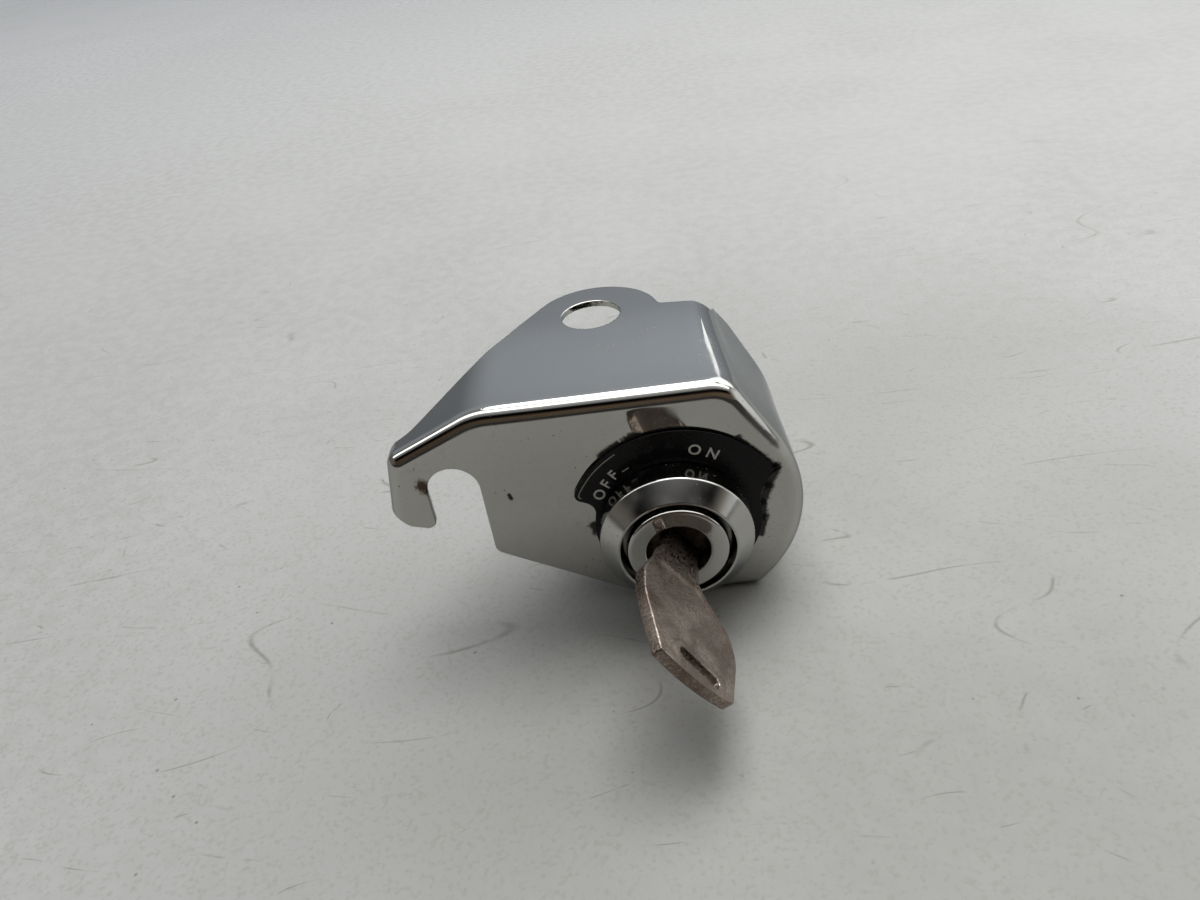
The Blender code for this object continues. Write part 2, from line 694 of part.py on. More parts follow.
def label_outline():
    """The label's outline: a sector of a ring whose ends run by fillets into the nut's seat."""
    left = LABEL_CENTRE + LABEL_HALF_ANGLE
    right = LABEL_CENTRE - LABEL_HALF_ANGLE
    outer = LABEL_RADIUS - LABEL_CORNER
    inner = LABEL_RING_RADIUS + LABEL_FILLET
    corner_spread = degrees(asin(LABEL_CORNER / outer))
    fillet_spread = degrees(asin(LABEL_FILLET / inner))
    path = arc(LABEL_RADIUS, right + corner_spread, left - corner_spread)
    path += arc(LABEL_CORNER, left - corner_spread, left + 90.0, polar(outer, left - corner_spread),
                step=18.0)[1:]
    path += arc(LABEL_FILLET, left + 270.0, left + 180.0 + fillet_spread,
                polar(inner, left + fillet_spread), step=18.0)
    path += arc(LABEL_RING_RADIUS, left + fillet_spread, right + 360.0 - fillet_spread)[1:]
    path += arc(LABEL_FILLET, right + 180.0 - fillet_spread, right + 90.0,
                polar(inner, right - fillet_spread), step=18.0)[1:]
    path += arc(LABEL_CORNER, right - 90.0, right + corner_spread,
                polar(outer, right + corner_spread), step=18.0)[:-1]
    return path


def make_face(parent, parts, looks):
    """What is stacked on the neck: label plate, conical nut and, behind the face, the washer."""
    label = plate_mesh("label_plate", [label_outline(), circle(HOLE_RADIUS)], LABEL_THICKNESS)
    place("label_plate", label, parent, parts, at=(0.0, (LABEL_FRONT + LABEL_BACK) / 2, 0.0),
          turn=FACE_ON, look=looks["label"])
    nut_front = NUT_BACK - NUT_HEIGHT
    rim = NUT_BACK - NUT_RIM
    turned("face_nut", [(HOLE_RADIUS + NUT_FACE_WIDTH, nut_front), (NUT_RADIUS - 0.25, rim - 0.15),
                        (NUT_RADIUS, rim + 0.15), (NUT_RADIUS, NUT_BACK - NUT_BACK_CHAMFER),
                        (NUT_RADIUS - NUT_BACK_CHAMFER, NUT_BACK), (HOLE_RADIUS, NUT_BACK),
                        (HOLE_RADIUS, nut_front)], parent, parts, looks["chrome"])
    teeth = []
    for index in range(WASHER_TEETH):
        start = 360.0 * index / WASHER_TEETH
        share = 360.0 / WASHER_TEETH
        teeth += arc(WASHER_RADIUS, start, start + share * 0.55)
        teeth += arc(WASHER_RADIUS - WASHER_TOOTH, start + share * 0.65, start + share * 0.9)
    washer = plate_mesh("lock_washer", [teeth, circle(HOLE_RADIUS)], WASHER_THICKNESS)
    place("lock_washer", washer, parent, parts,
          at=(0.0, WASHER_FRONT + WASHER_THICKNESS / 2, 0.0), turn=FACE_ON, look=looks["steel"])


def sector(inner, outer, start, end):
    """A piece of a ring between two angles."""
    return arc(outer, start, end) + arc(inner, end, start)


def make_housing(parent, parts, tools, looks):
    """The die-cast housing: threaded neck, collar, barrel and the can for the switch."""
    collar_back = COLLAR_FRONT + COLLAR_THICKNESS
    groove_front = RING_FRONT - SLOT_GAP
    groove = BOARD_BORE + RING_GROOVE
    housing = turned("lock_housing", [
        (BORE_RADIUS, -NECK_FRONT), (NECK_RADIUS - NECK_CHAMFER, -NECK_FRONT),
        (NECK_RADIUS, -NECK_FRONT + NECK_CHAMFER), (NECK_RADIUS, COLLAR_FRONT),
        (COLLAR_RADIUS, COLLAR_FRONT), (COLLAR_RADIUS, collar_back),
        (BARREL_RADIUS, collar_back + 0.8), (BARREL_RADIUS, BARREL_END), (CAN_RADIUS, CAN_START),
        (CAN_RADIUS, CAN_END), (BOARD_BORE, CAN_END), (BOARD_BORE, GROOVE_BACK),
        (groove, GROOVE_BACK), (groove, groove_front), (BOARD_BORE, groove_front),
        (BOARD_BORE, LEDGE_Y), (CAN_BORE, LEDGE_Y), (CAN_BORE, FLOOR_Y),
        (CLIP_POCKET_RADIUS, FLOOR_Y), (CLIP_POCKET_RADIUS, BORE_END), (BORE_RADIUS, BORE_END),
    ], parent, parts, looks["die_cast"])
    pad_inner = CAN_BORE - STOP_PAD_DEPTH
    lug = LUG_HALF_ANGLE + STOP_PLAY_ANGLE
    rest = -KEY_REST_ANGLE
    for name, edge, side in (("stop_off", rest + lug, 1.0), ("stop_on", rest - KEY_TURN_ANGLE - lug, -1.0)):
        pad = sector(pad_inner, CAN_BORE + CAN_WALL / 2, edge, edge + side * STOP_PAD_ANGLE)
        depth = ROTOR_BACK - FLOOR_Y + 1.0
        mesh = plate_mesh(name, [pad], depth)
        combine(housing, cutter(place(name, mesh, parent, tools,
                                      at=(0.0, FLOOR_Y - 1.0 + depth / 2, 0.0), turn=FACE_ON)),
                "UNION")
    for name, angle in (("dimple_off", rest), ("dimple_on", rest - KEY_TURN_ANGLE)):
        x, z = polar(BALL_CIRCLE, angle)
        ball = sphere_mesh(name, BALL_RADIUS + RUN_GAP)
        combine(housing, cutter(place(name, ball, parent, tools,
                                      at=(x, BALL_CENTRE - BALL_TRAVEL, z))), "DIFFERENCE")
    # The tumblers spring out into a groove at each stop, so the key is drawn at either.
    wafer_last = WAFER_FIRST + WAFER_PITCH * (WAFER_COUNT - 1)
    length = wafer_last - WAFER_FIRST + WAFER_THICKNESS + 2.0 * RUN_GAP
    for name, angle in (("groove_off", KEY_REST_ANGLE), ("groove_on", KEY_REST_ANGLE + KEY_TURN_ANGLE)):
        groove_box = box_mesh(name, (2.0 * WAFER_GROOVE_RADIUS, length,
                                     2.0 * (WAFER_HALF_WIDTH + RUN_GAP)))
        combine(housing, cutter(place(name, groove_box, parent, tools,
                                      at=(0.0, (WAFER_FIRST + wafer_last) / 2, 0.0),
                                      turn=(0.0, angle, 0.0))), "DIFFERENCE")
    return housing


# Plug.  In its own frame X runs across the key's width and Z across its thickness.

def make_plug(parent, parts, tools, looks):
    """The turning plug: chromed cap, slotted barrel with its driving tang, and spring clip."""
    cap_back = -NECK_FRONT - RUN_GAP
    cap_front = cap_back - CAP_HEIGHT
    turned("plug_cap", [
        (CAP_BORE + 0.4, cap_front), (CAP_RADIUS - CAP_ROUND, cap_front),
        (CAP_RADIUS - 0.3 * CAP_ROUND, cap_front + 0.3 * CAP_ROUND),
        (CAP_RADIUS, cap_front + CAP_ROUND), (CAP_RADIUS, cap_back), (CAP_BORE, cap_back),
        (CAP_BORE, cap_front + 0.4)], parent, parts, looks["chrome"])
    root = PLUG_RADIUS - CLIP_GROOVE_DEPTH
    plug = turned("lock_plug", [
        (0.0, -NECK_FRONT), (PLUG_RADIUS - NECK_CHAMFER, -NECK_FRONT),
        (PLUG_RADIUS, -NECK_FRONT + NECK_CHAMFER), (PLUG_RADIUS, CLIP_FRONT - SLOT_GAP),
        (root, CLIP_FRONT - SLOT_GAP), (root, CLIP_FRONT + CLIP_THICKNESS + SLOT_GAP),
        (PLUG_RADIUS, CLIP_FRONT + CLIP_THICKNESS + SLOT_GAP), (PLUG_RADIUS, PLUG_END),
        (0.0, PLUG_END)], parent, parts, looks["brass"])
    tang = box_mesh("tang", (TANG_WIDTH, TANG_LENGTH + 1.0, TANG_THICKNESS))
    combine(plug, cutter(place("tang", tang, parent, tools,
                               at=(0.0, PLUG_END + (TANG_LENGTH - 1.0) / 2, 0.0))), "UNION")
    keyway_length = KEYWAY_END + NECK_FRONT + 2.0
    keyway = box_mesh("keyway", (2.0 * (BLADE_HALF_WIDTH + RUN_GAP), keyway_length,
                                 KEY_THICKNESS + 2.0 * RUN_GAP))
    combine(plug, cutter(place("keyway", keyway, parent, tools,
                               at=(0.0, KEYWAY_END - keyway_length / 2, 0.0))), "DIFFERENCE")
    for index in range(WAFER_COUNT):
        name = f"wafer_slot_{index + 1}"
        slot = box_mesh(name, (2.0 * PLUG_RADIUS + 2.0, WAFER_THICKNESS + 2.0 * SLOT_GAP,
                               2.0 * (WAFER_HALF_WIDTH + SLOT_GAP)))
        combine(plug, cutter(place(name, slot, parent, tools,
                                   at=(0.0, WAFER_FIRST + WAFER_PITCH * index, 0.0))),
                "DIFFERENCE")
    half = CLIP_MOUTH_ANGLE / 2
    ring = sector(CLIP_INNER, CLIP_INNER + CLIP_WIDTH, half, 360.0 - half)
    clip = plate_mesh("plug_clip", [ring], CLIP_THICKNESS)
    place("plug_clip", clip, parent, parts, at=(0.0, CLIP_FRONT + CLIP_THICKNESS / 2, 0.0),
          turn=FACE_ON, look=looks["steel"])


def wafer_outlines():
    """A tumbler: a strip with rounded ends and a window that the blade passes through."""
    half = degrees(asin(WAFER_HALF_WIDTH / WAFER_RADIUS))
    outside = arc(WAFER_RADIUS, -half, half) + arc(WAFER_RADIUS, 180.0 - half, 180.0 + half)
    low = -(BLADE_HALF_WIDTH + RUN_GAP + WAFER_TRAVEL)
    high = BLADE_HALF_WIDTH + RUN_GAP
    window = box_outline(high - low, KEY_THICKNESS + 2.0 * RUN_GAP, ((high + low) / 2, 0.0))
    return [outside, window]


def make_wafers(parent, parts, look):
    """The five tumblers, each across the plug."""
    mesh = plate_mesh("wafer", wafer_outlines(), WAFER_THICKNESS)
    for index in range(WAFER_COUNT):
        wafer = place(f"wafer_{index + 1}", mesh, parent, parts,
                      at=(0.0, WAFER_FIRST + WAFER_PITCH * index, 0.0), turn=FACE_ON)
        if index == 0:
            wafer.data.materials.append(look)


def key_outline():
    """The key's outline as (across, along): tip, cut edge, bow, plain edge."""
    edge = [(BLADE_TIP_WIDTH / 2, BLADE_END, 0.5), (BLADE_HALF_WIDTH, BLADE_END - 2.6, 0.4)]
    for index in reversed(range(WAFER_COUNT)):
        depth = BITTING[index % len(BITTING)]
        middle = WAFER_FIRST + WAFER_PITCH * index
        if middle + BITTING_FLAT / 2 + depth > BLADE_END - 2.8:
            continue
        edge += [(BLADE_HALF_WIDTH, middle + BITTING_FLAT / 2 + depth, 0.0),
                 (BLADE_HALF_WIDTH - depth, middle + BITTING_FLAT / 2, 0.0),
                 (BLADE_HALF_WIDTH - depth, middle - BITTING_FLAT / 2, 0.0),
                 (BLADE_HALF_WIDTH, middle - BITTING_FLAT / 2 - depth, 0.0)]
    edge += [(NECK_HALF_WIDTH, -STOP_FRONT + 1.5, 0.0),
             (NECK_HALF_WIDTH - 0.5, -NECK_END + 0.6, 1.5), (NECK_HALF_WIDTH + 0.9, -NECK_END - 1.6, 4.0),
             (BOW_HALF_WIDTH - 1.4, -BOW_START, 5.0), (BOW_HALF_WIDTH, -BOW_WIDEST, 12.0),
             (BOW_END_WIDTH, -BOW_SHOULDER, 2.0), (0.0, -BOW_END, 60.0),
             (-BOW_END_WIDTH, -BOW_SHOULDER, 0.8), (-BOW_HALF_WIDTH, -BOW_WIDEST, 12.0),
             (-BOW_HALF_WIDTH + 0.4, -BOW_START, 4.0), (-STOP_HALF_WIDTH - 0.8, -STOP_FRONT - 2.4, 3.0),
             (-STOP_HALF_WIDTH, -STOP_FRONT, 0.5), (-BLADE_HALF_WIDTH - 0.1, -STOP_FRONT + 2.4, 0.5),
             (-BLADE_HALF_WIDTH, BLADE_END - 2.6, 0.4), (-BLADE_TIP_WIDTH / 2, BLADE_END, 0.5)]
    return rounded(edge)


def ring_slot():
    """The slot for a key ring, parallel to the bow's far edge."""
    half = RING_SLOT_LENGTH / 2 - RING_SLOT_WIDTH / 2
    radius = RING_SLOT_WIDTH / 2
    shape = arc(radius, -90.0, 90.0, (half, 0.0), 22.5) + arc(radius, 90.0, 270.0, (-half, 0.0), 22.5)
    tilt = radians(-RING_SLOT_ANGLE)
    return [(RING_SLOT_OFFSET + x * cos(tilt) - y * sin(tilt),
             x * sin(tilt) + y * cos(tilt) - RING_SLOT_AT) for x, y in shape]


def make_key(parent, parts, tools, look):
    """The flat key: blade with its cuts and milled grooves, stop shoulder, broad bow."""
    mesh = plate_mesh("key", [key_outline(), ring_slot()], KEY_THICKNESS)
    key = place("key", mesh, parent, parts, look=look)
    soft = key.modifiers.new("edges", "BEVEL")
    soft.width = MM * KEY_EDGE
    soft.segments = 1
    soft.limit_method = "ANGLE"
    soft.angle_limit = radians(60.0)
    length = BLADE_END + NECK_END
    for side in (1.0, -1.0):
        name = "groove_front" if side > 0.0 else "groove_back"
        groove = box_mesh(name, (MILLED_GROOVE_WIDTH, length, 2.0 * MILLED_GROOVE_DEPTH))
        combine(key, cutter(place(name, groove, parent, tools,
                                  at=(side * MILLED_GROOVE_SIDE, (BLADE_END - NECK_END) / 2 + 2.0,
                                      side * KEY_THICKNESS / 2))), "DIFFERENCE")


# Switch.  The rotor turns with the plug, the board stays with the housing.

def coil(radius, start, end, turns, per_turn):
    """Points of a coil about the lock axis's direction, from one y to another."""
    count = turns * per_turn
    return [(radius * cos(2.0 * pi * i / per_turn), start + (end - start) * i / count,
             radius * sin(2.0 * pi * i / per_turn)) for i in range(count + 1)]


def rotor_outline():
    """The rotor: a disc with the lug that carries the ball and meets the stops."""
    return (arc(LUG_RADIUS, -LUG_HALF_ANGLE, LUG_HALF_ANGLE)
            + arc(ROTOR_RADIUS, LUG_HALF_ANGLE, 360.0 - LUG_HALF_ANGLE))


def bridge_outline():
    """The contact bridge: a ring with three lobes, midway between the contacts when off."""
    path = []
    spread = degrees(asin(LOBE_RADIUS / BRIDGE_HUB))
    for _, angle in TERMINALS:
        lobe = angle + KEY_TURN_ANGLE + KEY_REST_ANGLE
        path.append((lobe % 360.0, arc(LOBE_RADIUS, lobe - 75.0, lobe + 75.0,
                                       polar(BRIDGE_HUB, lobe), 15.0)))
    path.sort(key=lambda item: item[0])
    outline = []
    for index, (lobe, points) in enumerate(path):
        following = path[(index + 1) % len(path)][0]
        if following <= lobe:
            following += 360.0
        outline += points
        outline += arc(BRIDGE_HUB, lobe + spread + 6.0, following - spread - 6.0)
    return outline


def make_rotor(parent, parts, tools, looks):
    """The moulded rotor with its detent ball, springs and contact bridge."""
    tang_hole = box_outline(TANG_WIDTH + 2.0 * RUN_GAP, TANG_THICKNESS + 2.0 * RUN_GAP)
    body = plate_mesh("switch_rotor", [rotor_outline(), tang_hole], ROTOR_THICKNESS)
    rotor = place("switch_rotor", body, parent, parts,
                  at=(0.0, (ROTOR_FRONT + ROTOR_BACK) / 2, 0.0), turn=FACE_ON,
                  look=looks["moulding"])
    cage = cylinder_mesh("ball_cage", BALL_RADIUS + RUN_GAP, BALL_CAGE_DEPTH + 2.0, steps=24)
    combine(rotor, cutter(place("ball_cage", cage, parent, tools,
                                at=(BALL_CIRCLE, ROTOR_FRONT + BALL_CAGE_DEPTH / 2 - 1.0, 0.0),
                                turn=FACE_ON)), "DIFFERENCE")
    inner = CONTACT_SPRING_COIL - SPRING_POCKET_WIDTH / 2
    pocket = plate_mesh("spring_pocket", [circle(inner + SPRING_POCKET_WIDTH), circle(inner)],
                        SPRING_POCKET_DEPTH + 2.0)
    combine(rotor, cutter(place("spring_pocket", pocket, parent, tools,
                                at=(0.0, ROTOR_BACK - SPRING_POCKET_DEPTH / 2 + 1.0, 0.0),
                                turn=FACE_ON)), "DIFFERENCE")
    peg_end = BRIDGE_FRONT + BRIDGE_THICKNESS - RUN_GAP
    peg_length = peg_end - ROTOR_BACK + 1.0
    pegs = [polar(PEG_CIRCLE, TERMINALS[0][1] + KEY_TURN_ANGLE + KEY_REST_ANGLE + 60.0 + step)
            for step in (0.0, 120.0)]
    for index, (x, z) in enumerate(pegs):
        name = f"peg_{index + 1}"
        peg = cylinder_mesh(name, PEG_RADIUS, peg_length, steps=16)
        combine(rotor, cutter(place(name, peg, parent, tools,
                                    at=(x, peg_end - peg_length / 2, z), turn=FACE_ON)), "UNION")
    place("detent_ball", sphere_mesh("detent_ball", BALL_RADIUS), parent, parts,
          at=(BALL_CIRCLE, BALL_CENTRE, 0.0), look=looks["steel"])
    spring_start = BALL_CENTRE + BALL_RADIUS + RUN_GAP + DETENT_WIRE / 2 - 0.15
    spring_end = ROTOR_FRONT + BALL_CAGE_DEPTH - RUN_GAP - DETENT_WIRE / 2
    spring = wire_mesh("detent_spring", coil(DETENT_COIL, spring_start, spring_end,
                                             DETENT_TURNS, 10), DETENT_WIRE)
    place("detent_spring", spring, parent, parts, at=(BALL_CIRCLE, 0.0, 0.0), look=looks["steel"])
    holes = [circle(PEG_RADIUS + RUN_GAP, peg, 16) for peg in pegs]
    bridge = plate_mesh("contact_bridge", [bridge_outline(), circle(BRIDGE_BORE, count=32), *holes],
                        BRIDGE_THICKNESS)
    place("contact_bridge", bridge, parent, parts,
          at=(0.0, BRIDGE_FRONT + BRIDGE_THICKNESS / 2, 0.0), turn=FACE_ON, look=looks["brass"])
    start = ROTOR_BACK - SPRING_POCKET_DEPTH + RUN_GAP + CONTACT_SPRING_WIRE / 2
    end = BRIDGE_FRONT - RUN_GAP - CONTACT_SPRING_WIRE / 2
    spring = wire_mesh("contact_spring", coil(CONTACT_SPRING_COIL, start, end,
                                              CONTACT_SPRING_TURNS, 16), CONTACT_SPRING_WIRE)
    place("contact_spring", spring, parent, parts, look=looks["steel"])


def make_board(parent, parts, tools, looks):
    """The terminal board, its snap ring, three terminals and their screws."""
    holes = [circle(SHANK_RADIUS + SEAT_GAP, polar(CONTACT_CIRCLE, angle), 20)
             for _, angle in TERMINALS]
    disc = plate_mesh("terminal_board", [circle(BOARD_BORE - SEAT_GAP), *holes], BOARD_THICKNESS)
    board = place("terminal_board", disc, parent, parts,
                  at=(0.0, (BOARD_FRONT + BOARD_BACK) / 2, 0.0), turn=FACE_ON,
                  look=looks["moulding"])
    rib_depth = RIB_HEIGHT + 1.0
    for index, (_, angle) in enumerate(TERMINALS):
        name = f"rib_{index + 1}"
        lean = angle + 180.0
        rib = box_mesh(name, (RIB_REACH, rib_depth, RIB_THICKNESS))
        x, z = polar(RIB_REACH / 2 - 0.3, lean)
        combine(board, cutter(place(name, rib, parent, tools,
                                    at=(x, BOARD_BACK + RIB_HEIGHT - rib_depth / 2, z),
                                    turn=(0.0, -lean, 0.0))), "UNION")
    outer = BOARD_BORE + RING_GROOVE - SEAT_GAP
    ring = plate_mesh("board_ring", [sector(outer - RING_WIDTH, outer, RING_MOUTH_ANGLE / 2 - 90.0,
                                            270.0 - RING_MOUTH_ANGLE / 2)], RING_THICKNESS)
    place("board_ring", ring, parent, parts, at=(0.0, RING_FRONT + RING_THICKNESS / 2, 0.0),
          turn=FACE_ON, look=looks["steel"])
    hole_end = SCREW_HEAD_FRONT - SCREW_LENGTH - RUN_GAP
    for index, (name, angle) in enumerate(TERMINALS):
        x, z = polar(CONTACT_CIRCLE, angle)
        turned(name, [(0.0, CONTACT_FRONT), (HEAD_RADIUS - 0.4, CONTACT_FRONT),
                      (HEAD_RADIUS, CONTACT_FRONT + 0.4), (HEAD_RADIUS, LEDGE_Y),
                      (SHANK_RADIUS, LEDGE_Y), (SHANK_RADIUS, BOSS_FRONT),
                      (BOSS_RADIUS, BOSS_FRONT), (BOSS_RADIUS, BOSS_BACK),
                      (SCREW_RADIUS + SEAT_GAP, BOSS_BACK), (SCREW_RADIUS + SEAT_GAP, hole_end),
                      (0.0, hole_end)], parent, parts, looks["brass"], steps=SMALL_STEPS,
               at=(x, 0.0, z))
        screw = turned(f"terminal_screw_{index + 1}", [
            (0.0, SCREW_HEAD_FRONT - SCREW_LENGTH), (SCREW_RADIUS, SCREW_HEAD_FRONT - SCREW_LENGTH),
            (SCREW_RADIUS, SCREW_HEAD_FRONT), (SCREW_HEAD_RADIUS, SCREW_HEAD_FRONT),
            (SCREW_HEAD_RADIUS, SCREW_HEAD_FRONT + 0.7 * SCREW_HEAD_HEIGHT),
            (SCREW_HEAD_RADIUS - 0.6, SCREW_HEAD_FRONT + SCREW_HEAD_HEIGHT),
            (0.0, SCREW_HEAD_FRONT + SCREW_HEAD_HEIGHT)], parent, parts, looks["steel"],
            steps=SMALL_STEPS, at=(x, 0.0, z))
        slot_name = f"screw_slot_{index + 1}"
        slot = box_mesh(slot_name, (2.0 * SCREW_HEAD_RADIUS + 2.0, 2.0 * SCREW_SLOT_DEPTH,
                                    SCREW_SLOT_WIDTH))
        combine(screw, cutter(place(slot_name, slot, parent, tools,
                                    at=(x, SCREW_HEAD_FRONT + SCREW_HEAD_HEIGHT, z),
                                    turn=(0.0, 40.0 * index + 20.0, 0.0))), "DIFFERENCE")


def main():
    """Build the whole switch."""
    clear_scene()
    parts = new_collection("ignition_switch")
    tools = new_collection("cutters")
    looks = {
        "chrome": finish("chrome_plate", (0.78, 0.79, 0.78), 1.0, 0.08),
        "label": finish("black_label_enamel", (0.012, 0.012, 0.013), 0.0, 0.45),
        "die_cast": finish("zinc_die_casting", (0.46, 0.46, 0.45), 1.0, 0.45),
        "brass": finish("turned_brass", (0.62, 0.44, 0.18), 1.0, 0.35),
        "nickel_silver": finish("worn_nickel_silver", (0.30, 0.26, 0.22), 1.0, 0.38),
        "steel": finish("zinc_plated_steel", (0.52, 0.52, 0.50), 1.0, 0.38),
        "moulding": finish("black_phenolic", (0.018, 0.016, 0.015), 0.0, 0.5),
    }
    frame = bpy.data.objects.new("lock_frame", None)
    frame.location = (-MM * BOLT_X, -MM * (BOLT_Y - SEAT_AHEAD_OF_BOLT), -MM * (TOP_HEIGHT - SHEET))
    parts.objects.link(frame)
    plug_frame = bpy.data.objects.new("plug_frame", None)
    plug_frame.parent = frame
    plug_frame.rotation_euler = (0.0, radians(KEY_REST_ANGLE), 0.0)
    parts.objects.link(plug_frame)
    make_cover(frame, parts, tools, looks["chrome"])
    make_face(frame, parts, looks)
    make_housing(frame, parts, tools, looks)
    make_plug(plug_frame, parts, tools, looks)
    make_wafers(plug_frame, parts, looks["brass"])
    make_key(plug_frame, parts, tools, looks["nickel_silver"])
    make_rotor(plug_frame, parts, tools, looks)
    make_board(frame, parts, tools, looks)
    bpy.context.view_layer.update()


main()
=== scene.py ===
"""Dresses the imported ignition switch: fine surfaces, real finishes, a pale floor, soft light.

The shapes are laid out round the lock axis in millimetres: the cover's face is the plane y = 0,
-Y points at the rider, +Z up.  One function moves every finished array into the part's frame.
"""

from __future__ import annotations

import json
import logging
from dataclasses import dataclass, field
from enum import Enum
from typing import Callable, Optional, Sequence, Union

import bmesh
import bpy
import numpy as np
from mathutils import Matrix, Vector, geometry

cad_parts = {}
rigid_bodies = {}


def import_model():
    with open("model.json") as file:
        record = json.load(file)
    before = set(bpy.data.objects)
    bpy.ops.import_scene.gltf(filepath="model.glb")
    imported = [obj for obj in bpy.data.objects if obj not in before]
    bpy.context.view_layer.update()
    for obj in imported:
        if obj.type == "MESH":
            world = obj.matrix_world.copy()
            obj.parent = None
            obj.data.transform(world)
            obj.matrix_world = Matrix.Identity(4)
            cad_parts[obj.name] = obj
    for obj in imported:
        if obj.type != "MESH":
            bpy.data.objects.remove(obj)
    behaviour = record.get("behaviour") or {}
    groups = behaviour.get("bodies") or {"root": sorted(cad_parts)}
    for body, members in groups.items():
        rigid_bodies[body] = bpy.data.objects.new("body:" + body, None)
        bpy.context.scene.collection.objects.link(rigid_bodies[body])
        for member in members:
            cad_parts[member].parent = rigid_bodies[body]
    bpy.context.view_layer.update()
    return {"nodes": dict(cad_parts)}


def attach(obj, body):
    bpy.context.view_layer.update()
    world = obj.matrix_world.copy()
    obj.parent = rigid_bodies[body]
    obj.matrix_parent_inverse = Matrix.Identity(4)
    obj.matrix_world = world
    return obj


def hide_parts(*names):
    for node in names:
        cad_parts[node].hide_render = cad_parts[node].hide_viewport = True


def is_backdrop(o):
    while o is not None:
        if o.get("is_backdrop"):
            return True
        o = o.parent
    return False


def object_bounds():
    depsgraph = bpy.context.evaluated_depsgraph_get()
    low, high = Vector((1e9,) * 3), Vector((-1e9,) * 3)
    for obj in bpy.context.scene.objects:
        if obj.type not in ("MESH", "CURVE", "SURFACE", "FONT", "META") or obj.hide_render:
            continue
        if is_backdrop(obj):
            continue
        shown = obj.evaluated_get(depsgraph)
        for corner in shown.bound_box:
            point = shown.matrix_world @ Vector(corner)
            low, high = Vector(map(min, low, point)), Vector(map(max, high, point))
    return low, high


LOG = logging.getLogger("ignition_switch")
MM = 0.001
LOCK_AXIS = np.array([12.5, -22.2, -29.6])     # the lock frame's origin in the part's frame, mm
KEY_REST_ANGLE = 55.0                          # how far the key's width leans at OFF, degrees
UPRIGHT = np.array([[1.0, 0.0, 0.0], [0.0, 0.0, 1.0], [0.0, 1.0, 0.0]])   # (x, z, y) to (x, y, z)
FLAT = np.eye(3)

Array = np.ndarray
Socket = Union[bpy.types.NodeSocket, float, Sequence[float]]


class Slot(Enum):
    """The record's material slots."""

    CHROME = "chrome_plate"
    LABEL = "black_label"
    STEEL = "plated_steel"
    ZINC = "zinc_casting"
    BRASS = "plug_brass"
    NICKEL = "nickel_silver"
    MOULDING = "black_phenolic"


class Body(Enum):
    """The bodies that pieces ride on."""

    FIXED = "body"
    PLUG = "plug"
    KEY = "key"


# Colour and shader nodes

def linear(code: str) -> tuple[float, float, float, float]:
    """An sRGB hex colour as linear values, by the standard curve.

    Args:
        code: Six hex digits, with or without a leading mark.

    Returns:
        Red, green, blue and an alpha of one.
    """
    raw = np.array([int(code.lstrip("#")[i:i + 2], 16) for i in (0, 2, 4)]) / 255.0
    value = np.where(raw <= 0.04045, raw / 12.92, ((raw + 0.055) / 1.055) ** 2.4)
    return (float(value[0]), float(value[1]), float(value[2]), 1.0)


def add_node(tree: bpy.types.NodeTree, kind: str,
             sockets: Optional[dict[Union[str, int], Socket]] = None,
             **settings: object) -> bpy.types.Node:
    """Adds a node, sets its options and fills its input sockets.

    Args:
        tree: The node tree.
        kind: Blender's name for the node type.
        sockets: What goes into each input, either a value or another node's output.
        **settings: Options of the node itself.

    Returns:
        The new node.
    """
    node = tree.nodes.new(kind)
    for name, value in settings.items():
        setattr(node, name, value)
    for name, value in (sockets or {}).items():
        if isinstance(value, bpy.types.NodeSocket):
            tree.links.new(value, node.inputs[name])
        else:
            node.inputs[name].default_value = value
    return node


def smooth(tree: bpy.types.NodeTree, value: Socket, low: float, high: float,
           ends: tuple[float, float] = (0.0, 1.0)) -> bpy.types.NodeSocket:
    """Eases from one end to the other while a value goes from one level to another.

    Args:
        tree: The node tree.
        value: The value that leads.
        low: The level that gives the first end.
        high: The level that gives the second.
        ends: What comes out at either level.

    Returns:
        The eased value.
    """
    return add_node(tree, "ShaderNodeMapRange", {
        "Value": value, "From Min": low, "From Max": high, "To Min": ends[0], "To Max": ends[1]},
        interpolation_type="SMOOTHSTEP").outputs[0]


def maths(tree: bpy.types.NodeTree, operation: str, *values: Socket,
          clamp: bool = False) -> bpy.types.NodeSocket:
    """One step of arithmetic.

    Args:
        tree: The node tree.
        operation: Blender's name for it.
        *values: What it works on, in order.
        clamp: Whether the result is kept between zero and one.

    Returns:
        The result.
    """
    return add_node(tree, "ShaderNodeMath", dict(enumerate(values)), operation=operation,
                    use_clamp=clamp).outputs[0]


def cells(size: float) -> float:
    """A texture's scale for a pattern of that size in millimetres, on coordinates in metres."""
    return 1.0 / (MM * size)


def spot(x: float, y: float, z: float) -> tuple[float, float, float]:
    """A place in the lock frame, mm, as the part frame's metres that object coordinates give."""
    return tuple(float(value) for value in MM * (np.array([x, y, z]) + LOCK_AXIS))


